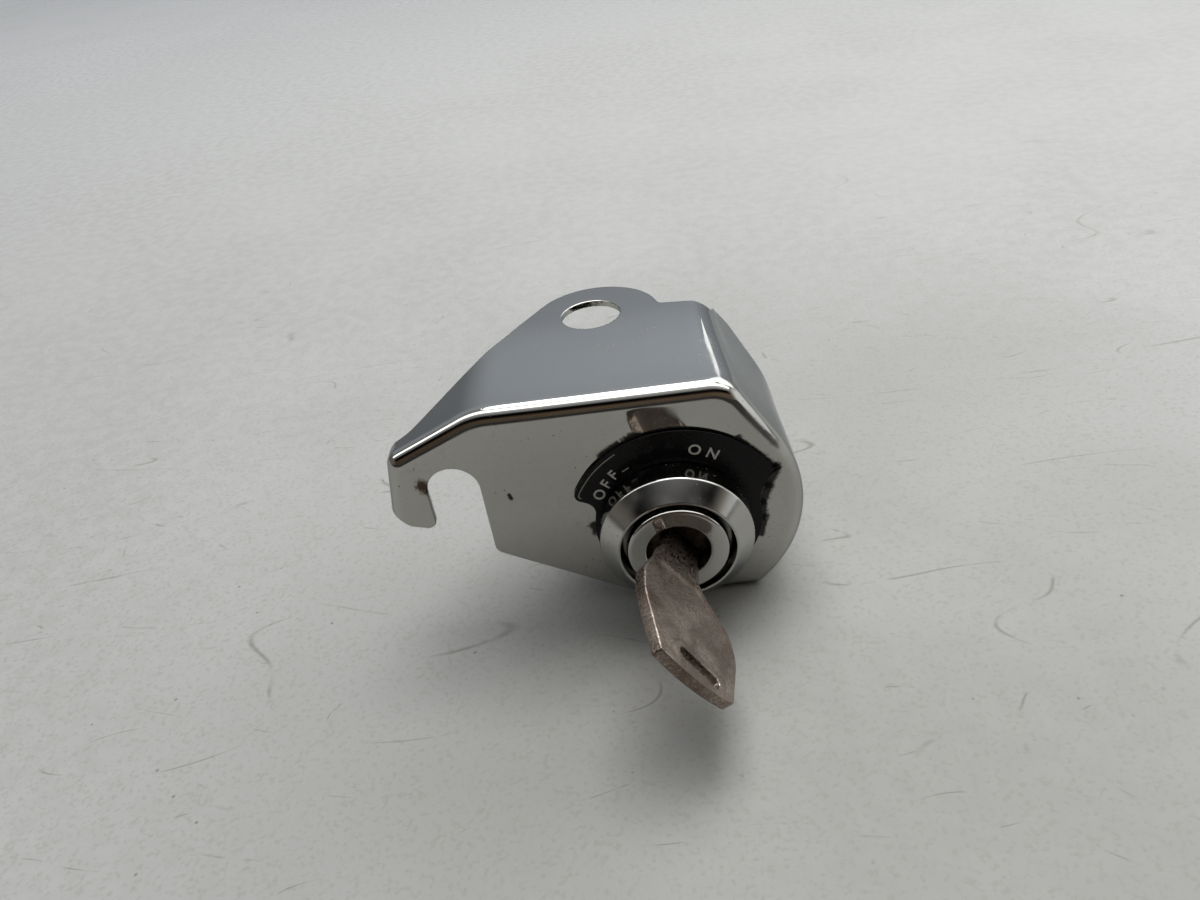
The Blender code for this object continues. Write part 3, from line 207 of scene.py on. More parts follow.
class Painter:
    """A material's tree with the patterns that several finishes share."""

    def __init__(self, name: str) -> None:
        """Starts a material with a plain shader.

        Args:
            name: The material's name.
        """
        self.material = bpy.data.materials.new(name)
        self.material.use_nodes = True
        self.tree = self.material.node_tree
        self.shader = self.tree.nodes["Principled BSDF"]
        self.place = add_node(self.tree, "ShaderNodeTexCoord").outputs["Object"]

    def set(self, **sockets: Socket) -> None:
        """Fills the shader's sockets.

        Args:
            **sockets: Values or outputs, by socket name with _ for a space.
        """
        for name, value in sockets.items():
            socket = self.shader.inputs[name.replace("_", " ")]
            if isinstance(value, bpy.types.NodeSocket):
                self.tree.links.new(value, socket)
            else:
                socket.default_value = value

    def cloud(self, size: float, low: float, high: float, detail: float = 3.0,
              stretch: tuple[float, float, float] = (1.0, 1.0, 1.0)) -> bpy.types.NodeSocket:
        """Soft patches: noise cut by a smooth step between two levels.

        Args:
            size: How large a patch is, mm.
            low: The noise level that gives zero.
            high: The noise level that gives one.
            detail: How many finer layers are added.
            stretch: How much finer the patches are along each axis.

        Returns:
            A value from zero to one.
        """
        turned = add_node(self.tree, "ShaderNodeMapping", {"Vector": self.place, "Scale": stretch})
        noise = add_node(self.tree, "ShaderNodeTexNoise", {
            "Vector": turned.outputs[0], "Scale": cells(size), "Detail": detail})
        return smooth(self.tree, noise.outputs["Fac"], low, high)

    def pits(self, spacing: float, radius: float, share: float) -> bpy.types.NodeSocket:
        """Small round specks: the distance to the nearest scattered point, in some patches only.

        Args:
            spacing: Between specks, mm.
            radius: Of a speck, as a share of the spacing.
            share: The noise level above which specks show.

        Returns:
            One inside a speck, zero outside.
        """
        points = add_node(self.tree, "ShaderNodeTexVoronoi", {
            "Vector": self.place, "Scale": cells(spacing)})
        speck = smooth(self.tree, points.outputs["Distance"], radius, radius * 0.4)
        return self.times(speck, self.cloud(spacing * 5.0, share, share + 0.08))

    def scratches(self, size: float, width: float, seed: float,
                  turn: float) -> bpy.types.NodeSocket:
        """Hair-thin curved lines: where slow noise passes its middle value, kept in patches.

        Args:
            size: How wide the curves swing, mm.
            width: The lines' width, mm.
            seed: Where in the noise they are read.
            turn: The direction that they mostly run in, radians.

        Returns:
            One on a line, zero elsewhere.
        """
        turned = add_node(self.tree, "ShaderNodeMapping", {
            "Vector": self.place, "Location": (seed, -seed, seed), "Rotation": (0.0, 0.0, turn),
            "Scale": (0.45, 1.5, 1.0)})
        noise = add_node(self.tree, "ShaderNodeTexNoise", {
            "Vector": turned.outputs[0], "Scale": cells(size), "Detail": 1.0})
        centred = maths(self.tree, "SUBTRACT", noise.outputs["Fac"], 0.5)
        line = smooth(self.tree, maths(self.tree, "ABSOLUTE", centred), 1.6 * width / size, 0.0)
        return self.times(line, self.cloud(size * 0.35, 0.54, 0.66, 3.0, (1.0, 1.4, 1.0)))

    def near(self, start: tuple[float, float, float], end: tuple[float, float, float],
             reach: float, ragged: float = 0.5) -> bpy.types.NodeSocket:
        """A ragged patch along a line: distance from its nearest place, broken up by fine noise.

        Args:
            start: One end, in the part frame's metres.
            end: The other end.
            reach: The patch's radius, mm.
            ragged: How much the noise moves the edge, as a share of the radius.

        Returns:
            One on the line, falling to zero at the edge.
        """
        line = np.array(end) - np.array(start)
        span = max(float(line @ line), 1e-12)
        offset = add_node(self.tree, "ShaderNodeVectorMath", {0: self.place, 1: start},
                          operation="SUBTRACT").outputs["Vector"]
        along = add_node(self.tree, "ShaderNodeVectorMath", {0: offset, 1: tuple(line / span)},
                         operation="DOT_PRODUCT").outputs["Value"]
        held = add_node(self.tree, "ShaderNodeClamp", {"Value": along}).outputs[0]
        foot = add_node(self.tree, "ShaderNodeVectorMath", {0: tuple(line), "Scale": held},
                        operation="SCALE").outputs["Vector"]
        away = add_node(self.tree, "ShaderNodeVectorMath", {0: offset, 1: foot},
                        operation="DISTANCE").outputs["Value"]
        noise = add_node(self.tree, "ShaderNodeTexNoise", {
            "Vector": self.place, "Scale": cells(max(reach * 0.8, 0.3)), "Detail": 6.0,
            "Roughness": 0.75})
        shifted = maths(self.tree, "MULTIPLY_ADD", noise.outputs["Fac"],
                        -MM * reach * 2.0 * ragged, away)
        return smooth(self.tree, shifted, MM * reach * (1.0 - ragged),
                      MM * reach * (0.35 - ragged))

    def times(self, first: Socket, second: Socket) -> bpy.types.NodeSocket:
        """The product of two masks."""
        return maths(self.tree, "MULTIPLY", first, second)

    def either(self, *masks: bpy.types.NodeSocket) -> bpy.types.NodeSocket:
        """The larger of several masks at each place."""
        joined = masks[0]
        for mask in masks[1:]:
            joined = maths(self.tree, "MAXIMUM", joined, mask)
        return joined

    def between(self, mask: bpy.types.NodeSocket, low: float, high: float) -> bpy.types.NodeSocket:
        """A value that goes from one number to another with a mask."""
        return add_node(self.tree, "ShaderNodeMapRange", {
            "Value": mask, "To Min": low, "To Max": high}).outputs[0]

    def over(self, below: Socket, above: str, mask: bpy.types.NodeSocket,
             strength: float = 1.0) -> bpy.types.NodeSocket:
        """A colour laid over another where a mask says.

        Args:
            below: The colour underneath.
            above: The hex colour on top.
            mask: Where it lies.
            strength: How much of it shows at most.

        Returns:
            The mixed colour.
        """
        amount = self.times(mask, strength)
        return add_node(self.tree, "ShaderNodeMix", {0: amount, 6: below, 7: linear(above)},
                        data_type="RGBA").outputs[2]

    def bump(self, height: bpy.types.NodeSocket, depth: float,
             under: Optional[bpy.types.NodeSocket] = None) -> bpy.types.NodeSocket:
        """A surface relief.

        Args:
            height: The pattern, zero to one.
            depth: Its depth, mm.
            under: A relief that it lies on.

        Returns:
            The normal.
        """
        sockets: dict[Union[str, int], Socket] = {"Height": height, "Distance": MM * depth}
        if under is not None:
            sockets["Normal"] = under
        return add_node(self.tree, "ShaderNodeBump", sockets).outputs[0]


@dataclass(frozen=True)
class ChromePlate:
    """Bright chromium on steel: a greyish mirror with fine pits, grimy patches, rust and wiping
    haze, and dark patches painted where the chrome reflects something dark.
    """

    name: str = "chrome_plate_worn"
    tint: str = "#b2b1ac"
    pit: str = "#3b322a"
    rust: str = "#4a2e1a"
    # the colour of the grimy patches and of the painted dark reflections
    dirt_and_shade: str = "#1c1714"
    haze: tuple[float, float] = (0.035, 0.13)
    film: str = "#b4b2ac"
    edge_tint: str = "#c0c4c8"
    pit_spacing: float = 1.5
    pit_depth: float = 0.008
    stain_dullness: float = 0.45
    rust_spots: tuple[tuple[float, ...], ...] = ()
    # patches that are partly grimy soiling and partly painted dark reflection, each as a line's two
    # ends and its reach
    grime_and_shade: tuple[tuple[float, ...], ...] = ()
    slot: Slot = Slot.CHROME

    def material(self) -> bpy.types.Material:
        """Pits and rust darken and dull the mirror, and slow waves bend its reflections."""
        paint = Painter(self.name)
        specks = paint.pits(self.pit_spacing, 0.15, 0.53)
        freckles = paint.pits(self.pit_spacing * 0.4, 0.20, 0.58)
        marks = paint.either(specks, freckles)
        colour = paint.over(linear(self.tint), self.pit, marks, 0.6)
        film = paint.cloud(9.0, 0.42, 0.68)
        colour = paint.over(colour, self.film, film, 0.35)
        rough = paint.between(film, *self.haze)
        stains_and_shade = marks
        # the dark patches are partly grimy soiling and partly painted dark reflection; both darken
        # and dull the mirror
        for marked, code in ((self.grime_and_shade, self.dirt_and_shade), (self.rust_spots, self.rust)):
            for x, z, other_x, other_z, reach in marked:
                patch = paint.near(spot(x, 0.0, z), spot(other_x, 0.0, other_z), reach, 0.95)
                colour = paint.over(colour, code, patch, 0.9)
                stains_and_shade = paint.either(stains_and_shade, patch)
        rough = maths(paint.tree, "MULTIPLY_ADD", stains_and_shade, self.stain_dullness, rough, clamp=True)
        waves = paint.bump(paint.cloud(14.0, 0.2, 0.8, 1.0), 0.035)
        paint.set(Base_Color=colour, Metallic=1.0, Roughness=rough,
                  Specular_Tint=linear(self.edge_tint),
                  Normal=paint.bump(paint.between(marks, 1.0, 0.0), self.pit_depth, waves))
        return paint.material


@dataclass(frozen=True)
class LabelEnamel:
    """Black stove enamel on thin sheet: satin, with grey scuffs and settled dust."""

    name: str = "black_label_enamel"
    slot: Slot = Slot.LABEL

    def material(self) -> bpy.types.Material:
        """Scuffs and dust lighten the black and change its gloss."""
        paint = Painter(self.name)
        dust = paint.cloud(1.6, 0.50, 0.78, 6.0)
        scuffs = paint.cloud(0.5, 0.60, 0.74, 2.0)
        colour = paint.over(linear("#050506"), "#24262c", dust, 0.35)
        colour = paint.over(colour, "#4a4d56", scuffs, 0.12)
        paint.set(Base_Color=colour, Roughness=paint.between(dust, 0.25, 0.5),
                  Specular_IOR_Level=0.2,
                  Normal=paint.bump(paint.cloud(0.35, 0.3, 0.7), 0.012))
        return paint.material


@dataclass(frozen=True)
class PrintInk:
    """Screen-printed ink: flat off-white, a little worn and thin."""

    name: str = "pale_screen_print"
    colour: str = "#d8d6cf"
    worn: float = 0.45
    slot: Slot = Slot.LABEL

    def material(self) -> bpy.types.Material:
        """Rubbed places let the black show through."""
        paint = Painter(self.name)
        rubbed = paint.cloud(0.7, 0.50, 0.74, 4.0)
        paint.set(Base_Color=paint.over(linear(self.colour), "#55555a", rubbed, self.worn),
                  Roughness=0.5)
        return paint.material


@dataclass(frozen=True)
class NickelSilver:
    """Stamped nickel silver: warm grey, with brown tarnish and a darker grain in patches."""

    name: str = "worn_nickel_silver"
    slot: Slot = Slot.NICKEL

    def material(self) -> bpy.types.Material:
        """Fine stipple and tarnish, with the die's grain in the relief."""
        paint = Painter(self.name)
        tarnish = paint.cloud(5.0, 0.36, 0.66, 5.0)
        grain = paint.cloud(0.55, 0.35, 0.65, 2.0)
        colour = paint.over(linear("#9c9085"), "#5f5046", tarnish, 0.75)
        colour = paint.over(colour, "#55483f", grain, 0.40)
        rough = paint.between(grain, 0.24, 0.46)
        paint.set(Base_Color=colour, Metallic=1.0, Roughness=rough,
                  Normal=paint.bump(grain, 0.035, paint.bump(tarnish, 0.03)))
        return paint.material


@dataclass(frozen=True)
class PlatedSteel:
    """Zinc-plated steel: a soft grey sheen with a faint blue passivate and dull patches."""

    name: str = "zinc_plated_steel"
    slot: Slot = Slot.STEEL

    def material(self) -> bpy.types.Material:
        """Patches of passivate and a fine grain."""
        paint = Painter(self.name)
        patch = paint.cloud(2.5, 0.40, 0.65, 4.0)
        colour = paint.over(linear("#bcc0c3"), "#8f8c83", patch, 0.6)
        paint.set(Base_Color=colour, Metallic=1.0, Roughness=paint.between(patch, 0.28, 0.45),
                  Normal=paint.bump(paint.cloud(0.3, 0.3, 0.7), 0.008))
        return paint.material


@dataclass(frozen=True)
class ZincCasting:
    """Zinc die casting: dull mid grey, faintly grained, with darker oxide in patches."""

    name: str = "zinc_die_casting"
    slot: Slot = Slot.ZINC

    def material(self) -> bpy.types.Material:
        """Cloudy oxide over a cast grain."""
        paint = Painter(self.name)
        oxide = paint.cloud(4.0, 0.38, 0.66, 5.0)
        colour = paint.over(linear("#a2a29e"), "#75736d", oxide, 0.7)
        paint.set(Base_Color=colour, Metallic=1.0, Roughness=paint.between(oxide, 0.40, 0.58),
                  Normal=paint.bump(paint.cloud(0.45, 0.3, 0.7, 4.0), 0.03))
        return paint.material


@dataclass(frozen=True)
class TurnedBrass:
    """Turned brass: yellow, gone dull and brown where it isn't rubbed."""

    name: str = "turned_brass"
    fresh: str = "#c9a25a"
    aged: str = "#7b5a2c"
    slot: Slot = Slot.BRASS

    def material(self) -> bpy.types.Material:
        """Brown oxide in patches."""
        paint = Painter(self.name)
        oxide = paint.cloud(2.2, 0.38, 0.66, 4.0)
        paint.set(Base_Color=paint.over(linear(self.fresh), self.aged, oxide, 0.8), Metallic=1.0,
                  Roughness=paint.between(oxide, 0.28, 0.46),
                  Normal=paint.bump(paint.cloud(0.3, 0.3, 0.7), 0.008))
        return paint.material


@dataclass(frozen=True)
class Phenolic:
    """Compression-moulded black phenolic: hard, nearly black, with a brown cast and dull dust."""

    name: str = "black_phenolic_moulding"
    slot: Slot = Slot.MOULDING

    def material(self) -> bpy.types.Material:
        """Dust and moulding flow marks."""
        paint = Painter(self.name)
        dust = paint.cloud(3.0, 0.42, 0.72, 5.0)
        paint.set(Base_Color=paint.over(linear("#171412"), "#3a332c", dust, 0.6),
                  Roughness=paint.between(dust, 0.34, 0.60),
                  Normal=paint.bump(paint.cloud(0.6, 0.3, 0.7), 0.015))
        return paint.material


# Plane paths, as arrays of (across, up) in millimetres

def meet(first: tuple[float, float], second: tuple[float, float]) -> Array:
    """Where two lines cross.

    Args:
        first: The first line's normal, degrees, and its distance from the axis.
        second: The same of the second.

    Returns:
        The point.
    """
    a, b = np.radians(first[0]), np.radians(second[0])
    system = np.array([[np.cos(a), np.sin(a)], [np.cos(b), np.sin(b)]])
    return np.linalg.solve(system, np.array([first[1], second[1]]))


def arc(radius: float, start: float, end: float, centre: Sequence[float] = (0.0, 0.0),
        step: float = 3.0) -> Array:
    """Points along an arc, both ends included: centre plus radius at evenly spaced angles.

    Args:
        radius: The arc's radius.
        start: First angle, degrees.
        end: Last angle, degrees.
        centre: The arc's centre.
        step: The largest angle between points.

    Returns:
        The points.
    """
    count = max(2, int(np.ceil(abs(end - start) / step)) + 1)
    angle = np.radians(np.linspace(start, end, count))
    return np.asarray(centre) + radius * np.column_stack([np.cos(angle), np.sin(angle)])


def at_angle(radius: float, degrees: float) -> Array:
    """The point at an angle on a circle about the axis."""
    return radius * np.array([np.cos(np.radians(degrees)), np.sin(np.radians(degrees))])


def swung(path: Array, degrees: float) -> Array:
    """A path turned left about the axis."""
    lean = np.radians(degrees)
    return path @ np.array([[np.cos(lean), np.sin(lean)], [-np.sin(lean), np.cos(lean)]])


def rounded(corners: Sequence[Sequence[float]], closed: bool = True, step: float = 3.0,
            support: float = 0.0) -> Array:
    """The path through (x, y, radius) corners, each turned by an arc tangent to its sides.

    Two arcs that need more than the side between them share it in proportion.  A support point
    is put just outside each arc, so that shading stays flat on the straight sides.

    Args:
        corners: The corners in order.
        closed: Whether the last joins the first.
        step: The largest angle between an arc's points.
        support: How far outside an arc its support points lie, or zero for none.

    Returns:
        The points.
    """
    data = np.array(corners, float)
    points, radii = data[:, :2], data[:, 2]
    sides = np.roll(points, -1, axis=0) - points
    length = np.linalg.norm(sides, axis=1)
    unit = sides / np.maximum(length, 1e-9)[:, None]
    before = np.roll(unit, 1, axis=0)
    cross = before[:, 0] * unit[:, 1] - before[:, 1] * unit[:, 0]
    turn = np.arctan2(cross, np.sum(before * unit, axis=1))
    if not closed:
        turn[[0, -1]] = 0.0
    reach = np.where(np.abs(turn) > 1e-4, radii * np.tan(np.abs(turn) / 2), 0.0)
    wanted = reach + np.roll(reach, -1)
    share = np.minimum(1.0, length / np.maximum(wanted, 1e-9))
    reach = reach * np.minimum(share, np.roll(share, 1))
    pieces = []
    for index in range(len(points)):
        if reach[index] <= 1e-6:
            pieces.append(points[index][None])
            continue
        angle = turn[index]
        radius = reach[index] / np.tan(abs(angle) / 2)
        side = np.sign(angle)
        start = points[index] - before[index] * reach[index]
        centre = start + side * radius * np.array([-before[index][1], before[index][0]])
        first = np.degrees(np.arctan2(*(start - centre)[::-1]))
        bend = arc(radius, first, first + np.degrees(angle), centre, step)
        if support > 0.0:
            bend = np.vstack([start - support * before[index], bend,
                              bend[-1] + support * unit[index]])
        pieces.append(bend)
    path = np.vstack(pieces)
    gap = np.linalg.norm(np.diff(path, axis=0), axis=1) > 0.01
    path = path[np.concatenate([[True], gap])]
    if closed and np.linalg.norm(path[0] - path[-1]) < 0.01:
        path = path[:-1]
    return path


def densified(path: Array, spacing: float, closed: bool = False) -> Array:
    """The same path with extra points evenly along each side that is longer than the spacing.

    Args:
        path: The path.
        spacing: The largest distance between points.
        closed: Whether the last point joins the first.

    Returns:
        The denser path.
    """
    ends = np.vstack([path, path[:1]]) if closed else path
    side = np.diff(ends, axis=0)
    steps = np.maximum(1, np.ceil(np.linalg.norm(side, axis=1) / spacing - 1e-6)).astype(int)
    index = np.repeat(np.arange(len(steps)), steps)
    part = (np.arange(steps.sum()) - np.repeat(np.cumsum(steps) - steps, steps)) / steps[index]
    points = ends[index] + part[:, None] * side[index]
    return points if closed else np.vstack([points, ends[-1:]])


def outward(path: Array, closed: bool = True) -> Array:
    """Each point's normal, to the right of the path's direction, long enough at a corner to
    keep both sides at one distance.

    Args:
        path: A path that turns left round what it bounds.
        closed: Whether the last point joins the first.

    Returns:
        A vector for each point.
    """
    ahead = np.roll(path, -1, axis=0) - path
    ahead /= np.maximum(np.linalg.norm(ahead, axis=1), 1e-9)[:, None]
    behind = np.roll(ahead, 1, axis=0)
    if not closed:
        ahead[-1] = behind[-1]
        behind[0] = ahead[0]
    normal = np.column_stack([(ahead + behind)[:, 1], -(ahead + behind)[:, 0]])
    normal /= np.maximum(np.linalg.norm(normal, axis=1), 1e-9)[:, None]
    spread = np.maximum(0.5, normal[:, 0] * ahead[:, 1] - normal[:, 1] * ahead[:, 0])
    return normal / spread[:, None]


def inside(points: Array, loops: Sequence[Array]) -> Array:
    """Which points lie in the region that closed loops bound: a ray from there to the right
    crosses the loops an odd number of times.

    Args:
        points: The points.
        loops: The outer loop and any holes.

    Returns:
        True for each point inside.
    """
    found = np.zeros(len(points), int)
    for loop in loops:
        a, b = loop, np.roll(loop, -1, axis=0)
        py = points[:, 1][:, None]
        spans = (a[:, 1] > py) != (b[:, 1] > py)
        rise = np.where(np.abs(b[:, 1] - a[:, 1]) < 1e-12, 1e-12, b[:, 1] - a[:, 1])
        x = a[:, 0] + (py - a[:, 1]) / rise * (b[:, 0] - a[:, 0])
        found += np.sum(spans & (points[:, 0][:, None] < x), axis=1)
    return found % 2 == 1


def enclosed(spots: Array, faces: Array, walls: Array, loops: Sequence[Array]) -> Array:
    """Which triangles lie in the region that loops bound.  Triangles that join across anything
    but a wall get one answer, that of the largest, and a sliver by itself is left out.

    Args:
        spots: The triangles' points.
        faces: The triangles.
        walls: The pairs of points that are the loops' sides.
        loops: The loops.

    Returns:
        True for each triangle inside.
    """
    sides = np.sort(np.stack([faces, np.roll(faces, -1, axis=1)], axis=-1), axis=-1)
    keys = (sides[..., 0] * len(spots) + sides[..., 1]).ravel()
    walls = np.sort(walls, axis=1)
    keys[np.isin(keys, walls[:, 0] * len(spots) + walls[:, 1])] = -1
    order = np.argsort(keys, kind="stable")
    joined = (keys[order][1:] == keys[order][:-1]) & (keys[order][1:] >= 0)
    first, second = order[:-1][joined] // 3, order[1:][joined] // 3
    group, before = np.arange(len(faces)), None
    while before is None or not np.array_equal(before, group):
        before = group.copy()
        low = np.minimum(before[first], before[second])
        np.minimum.at(group, first, low)
        np.minimum.at(group, second, low)
    ahead, across = spots[faces[:, 1]] - spots[faces[:, 0]], spots[faces[:, 2]] - spots[faces[:, 0]]
    area = np.abs(ahead[:, 0] * across[:, 1] - ahead[:, 1] * across[:, 0])
    by_size = np.argsort(area)
    largest = np.zeros(len(faces), int)
    largest[group[by_size]] = by_size
    chosen = largest[group]
    return inside(spots[faces[chosen]].mean(axis=1), loops) & (area[chosen] > 1e-5)


def filled(loops: Sequence[Array], spacing: float = 0.0) -> tuple[Array, Array]:
    """Fills the region between closed loops with triangles, on a staggered net of points.

    Args:
        loops: The outer loop and any holes.
        spacing: Between the net's points, or zero for none.

    Returns:
        The points, which start with the loops' own, and the triangles.
    """
    edge = np.vstack(loops)
    starts = np.cumsum([0] + [len(loop) for loop in loops[:-1]])
    links = [(int(s + i), int(s + (i + 1) % len(loop))) for s, loop in zip(starts, loops)
             for i in range(len(loop))]
    points = edge
    if spacing > 0.0:
        low, high = edge.min(axis=0), edge.max(axis=0)
        across, up = np.meshgrid(np.arange(low[0], high[0], spacing),
                                 np.arange(low[1], high[1], spacing * 0.87))
        across = across + 0.5 * spacing * (np.arange(up.shape[0]) % 2)[:, None]
        net = np.column_stack([across.ravel(), up.ravel()])
        net = net[inside(net, loops)]
        gap = np.min(np.linalg.norm(net[:, None] - edge[None], axis=2), axis=1)
        points = np.vstack([edge, net[gap > 0.55 * spacing]])
    made = geometry.delaunay_2d_cdt([Vector(p) for p in points], links, [], 0, 1e-6)
    source = np.array([ids[0] if ids else -1 for ids in made[3]])
    spots = np.array([(v.x, v.y) for v in made[0]])
    spots = np.where(source[:, None] >= 0, points[np.maximum(source, 0)], spots)
    faces = np.array(made[2])
    walls = np.array([side for side, given in zip(made[1], made[4]) if given])
    return spots, faces[enclosed(spots, faces, walls, loops)]


# Meshes

@dataclass
class Surface:
    """Points and faces that grow piece by piece, in the lock frame."""

    points: list[Array] = field(default_factory=list)
    faces: list[list[int]] = field(default_factory=list)
    count: int = 0

    def add(self, points: Array, faces: Array) -> None:
        """Adds a block.

        Args:
            points: Its points.
            faces: Its faces, which number the points from zero.
        """
        self.faces += (np.asarray(faces) + self.count).tolist()
        self.points.append(points)
        self.count += len(points)

    def grid(self, points: Array, wrap: bool = False, wrap_rows: bool = False) -> None:
        """Adds a net of quads.

        Args:
            points: An array of rows and columns of points.
            wrap: Whether the last column joins the first.
            wrap_rows: Whether the last row joins the first.
        """
        rows, columns = points.shape[:2]
        number = np.arange(rows * columns).reshape(rows, columns)
        if wrap:
            number = np.hstack([number, number[:, :1]])
        if wrap_rows:
            number = np.vstack([number, number[:1]])
        quads = np.stack([number[:-1, :-1], number[:-1, 1:], number[1:, 1:], number[1:, :-1]], -1)
        self.add(points.reshape(-1, 3), quads.reshape(-1, 4))

    def turned(self, profile: Array, steps: int, centre: tuple[float, float] = (0.0, 0.0)) -> None:
        """Spins a closed profile of (radius, y) about the lock's direction: at each angle the
        point is radius times (cosine, sine) across and up, and y along.

        Args:
            profile: The profile; one that touches the axis at both ends is closed by poles.
            steps: How many places round the axis.
            centre: Where the axis stands, across and up.
        """
        angle = np.linspace(0.0, 2.0 * np.pi, steps, endpoint=False)
        poles = profile[0][0] < 1e-6 and profile[-1][0] < 1e-6
        ring = profile[1:-1] if poles else profile
        radius, along = ring[:, 0][:, None], ring[:, 1][:, None]
        net = np.stack([centre[0] + radius * np.cos(angle), along + 0.0 * angle,
                        centre[1] + radius * np.sin(angle)], -1)
        first = self.count
        self.grid(net, wrap=True, wrap_rows=not poles)
        if poles:
            last = first + (len(ring) - 1) * steps
            for y, start in ((profile[0][1], first), (profile[-1][1], last)):
                around = np.arange(steps) + start - self.count
                fan = np.column_stack([around, np.roll(around, -1), np.zeros(steps, int)])
                self.add(np.array([[centre[0], y, centre[1]]]), fan)

    def plate(self, loops: Sequence[Array], low: float, high: float, edge: float = 0.15,
              axes: Array = UPRIGHT, at: Sequence[float] = (0.0, 0.0, 0.0),
              spacing: float = 0.0, steps: int = 3) -> None:
        """A flat piece with rounded edges: each loop is carried through its thickness, drawn in
        near both faces by the edge's quarter circle, and the faces are filled.

        Args:
            loops: The outer loop, turning left, and holes, turning right.
            low: Where one face lies along the thickness.
            high: Where the other lies.
            edge: The edges' radius.
            axes: Rows that carry (across, up, thickness) to the lock frame.
            at: The place that the outline's origin goes to.
            spacing: Between the faces' inner points, or zero for none.
            steps: How many parts a rounded edge has.
        """
        bend = np.radians(np.linspace(0.0, 90.0, steps + 1))
        draw = np.concatenate([[2.0], 1.0 - np.sin(bend)]) * edge
        rise = np.concatenate([[0.0], 1.0 - np.cos(bend)]) * edge
        draws = np.concatenate([draw, draw[::-1]])
        rises = np.concatenate([low + rise, high - rise[::-1]])
        caps = []
        for loop in loops:
            normal = outward(loop)
            flat = loop[None] - draws[:, None, None] * normal[None]
            net = np.dstack([flat, np.broadcast_to(rises[:, None, None], flat.shape[:2] + (1,))])
            self.grid(net @ axes + np.asarray(at), wrap=True)
            caps.append(flat[0])
        spots, faces = filled(caps, spacing)
        for level in (low, high):
            cap = np.column_stack([spots, np.full(len(spots), level)])
            self.add(cap @ axes + np.asarray(at), faces)

    def built(self, name: str, closed: bool = True) -> bpy.types.Object:
        """Makes the object, with its doubles merged and its faces turned out.

        Args:
            name: The object's name.
            closed: Whether the surface bounds a solid, so that its faces can be turned out.

        Returns:
            The object, at the origin, in the part's frame.
        """
        mesh = bpy.data.meshes.new(name)
        place = MM * (np.vstack(self.points) + LOCK_AXIS)
        mesh.from_pydata(place.tolist(), [], self.faces)
        work = bmesh.new()
        work.from_mesh(mesh)
        bmesh.ops.remove_doubles(work, verts=work.verts, dist=2e-6)
        bmesh.ops.recalc_face_normals(work, faces=work.faces)
        if closed and work.calc_volume(signed=True) < 0.0:
            bmesh.ops.reverse_faces(work, faces=work.faces)
        work.to_mesh(mesh)
        work.free()
        mesh.shade_smooth()
        piece = bpy.data.objects.new(name, mesh)
        bpy.context.scene.collection.objects.link(piece)
        return piece

    def sheet_metal(self, name: str, thickness: float, edge: float,
                    facing: Array) -> bpy.types.Object:
        """Gives an open sheet its thickness and rounded rims.

        The inner side is each point less the thickness along its normal.  A rim is a quarter
        circle, a flat and a quarter circle: at angle a it lies edge x (1 - sin a) inside the
        sheet's edge and edge x (1 - cos a) below its side.

        Args:
            name: The object's name.
            thickness: The sheet's thickness.
            edge: The rims' radius.
            facing: A direction that most of the outer side faces.

        Returns:
            The closed object.
        """
        piece = self.built(name, closed=False)
        mesh = piece.data
        count, corners = len(mesh.vertices), len(mesh.loops)
        points, normals = np.empty(3 * count), np.empty(3 * count)
        mesh.vertices.foreach_get("co", points)
        mesh.vertices.foreach_get("normal", normals)
        first, size = np.empty(len(mesh.polygons), int), np.empty(len(mesh.polygons), int)
        mesh.polygons.foreach_get("loop_start", first)
        mesh.polygons.foreach_get("loop_total", size)
        vertex = np.empty(corners, int)
        mesh.loops.foreach_get("vertex_index", vertex)
        points, normals = points.reshape(-1, 3) / MM - LOCK_AXIS, normals.reshape(-1, 3)
        if float((normals @ facing).mean()) < 0.0:
            normals = -normals
            after = np.arange(corners) - 1
            after[first] = first + size - 1
        else:
            after = np.arange(corners) + 1
            after[first + size - 1] = first
        start, end = vertex, vertex[after]
        rim = ~np.isin(start * count + end, end * count + start)
        start, end = start[rim], end[rim]
        order = np.zeros(count, int)
        order[start] = np.arange(len(start))
        ahead = points[end] - points[start]
        ahead /= np.linalg.norm(ahead, axis=1)[:, None]
        behind = np.empty_like(ahead)
        behind[order[end]] = ahead
        out = np.cross(ahead, normals[start])
        both = out + np.cross(behind, normals[start])
        both /= np.linalg.norm(both, axis=1)[:, None]
        both /= np.maximum(0.6, np.sum(both * out, axis=1))[:, None]
        bend = np.radians(np.linspace(0.0, 90.0, 5))
        inward = edge * (1.0 - np.sin(bend))
        below = edge * (1.0 - np.cos(bend))
        inward = np.concatenate([inward, inward[::-1]])[:, None, None]
        below = np.concatenate([below, thickness - below[::-1]])[:, None, None]
        rows = points[start][None] - inward * both[None] - below * normals[start][None]
        outer = points.copy()
        outer[start] = rows[0]
        inner = outer - thickness * normals
        inner[start] = rows[-1]
        sides = [[int(v) for v in vertex[s:s + n]] for s, n in zip(first, size)]
        solid = Surface()
        solid.points = [outer, inner, rows[1:-1].reshape(-1, 3)]
        solid.faces = sides + [[v + count for v in reversed(side)] for side in sides]
        number = np.arange((len(rows) - 2) * len(start)).reshape(len(rows) - 2, -1) + 2 * count
        number = np.vstack([start[None], number, start[None] + count])
        second = order[end]
        quads = np.stack([number[:-1, second], number[:-1], number[1:], number[1:, second]], -1)
        solid.faces += quads.reshape(-1, 4).tolist()
        bpy.data.objects.remove(piece, do_unlink=True)
        return solid.built(name)


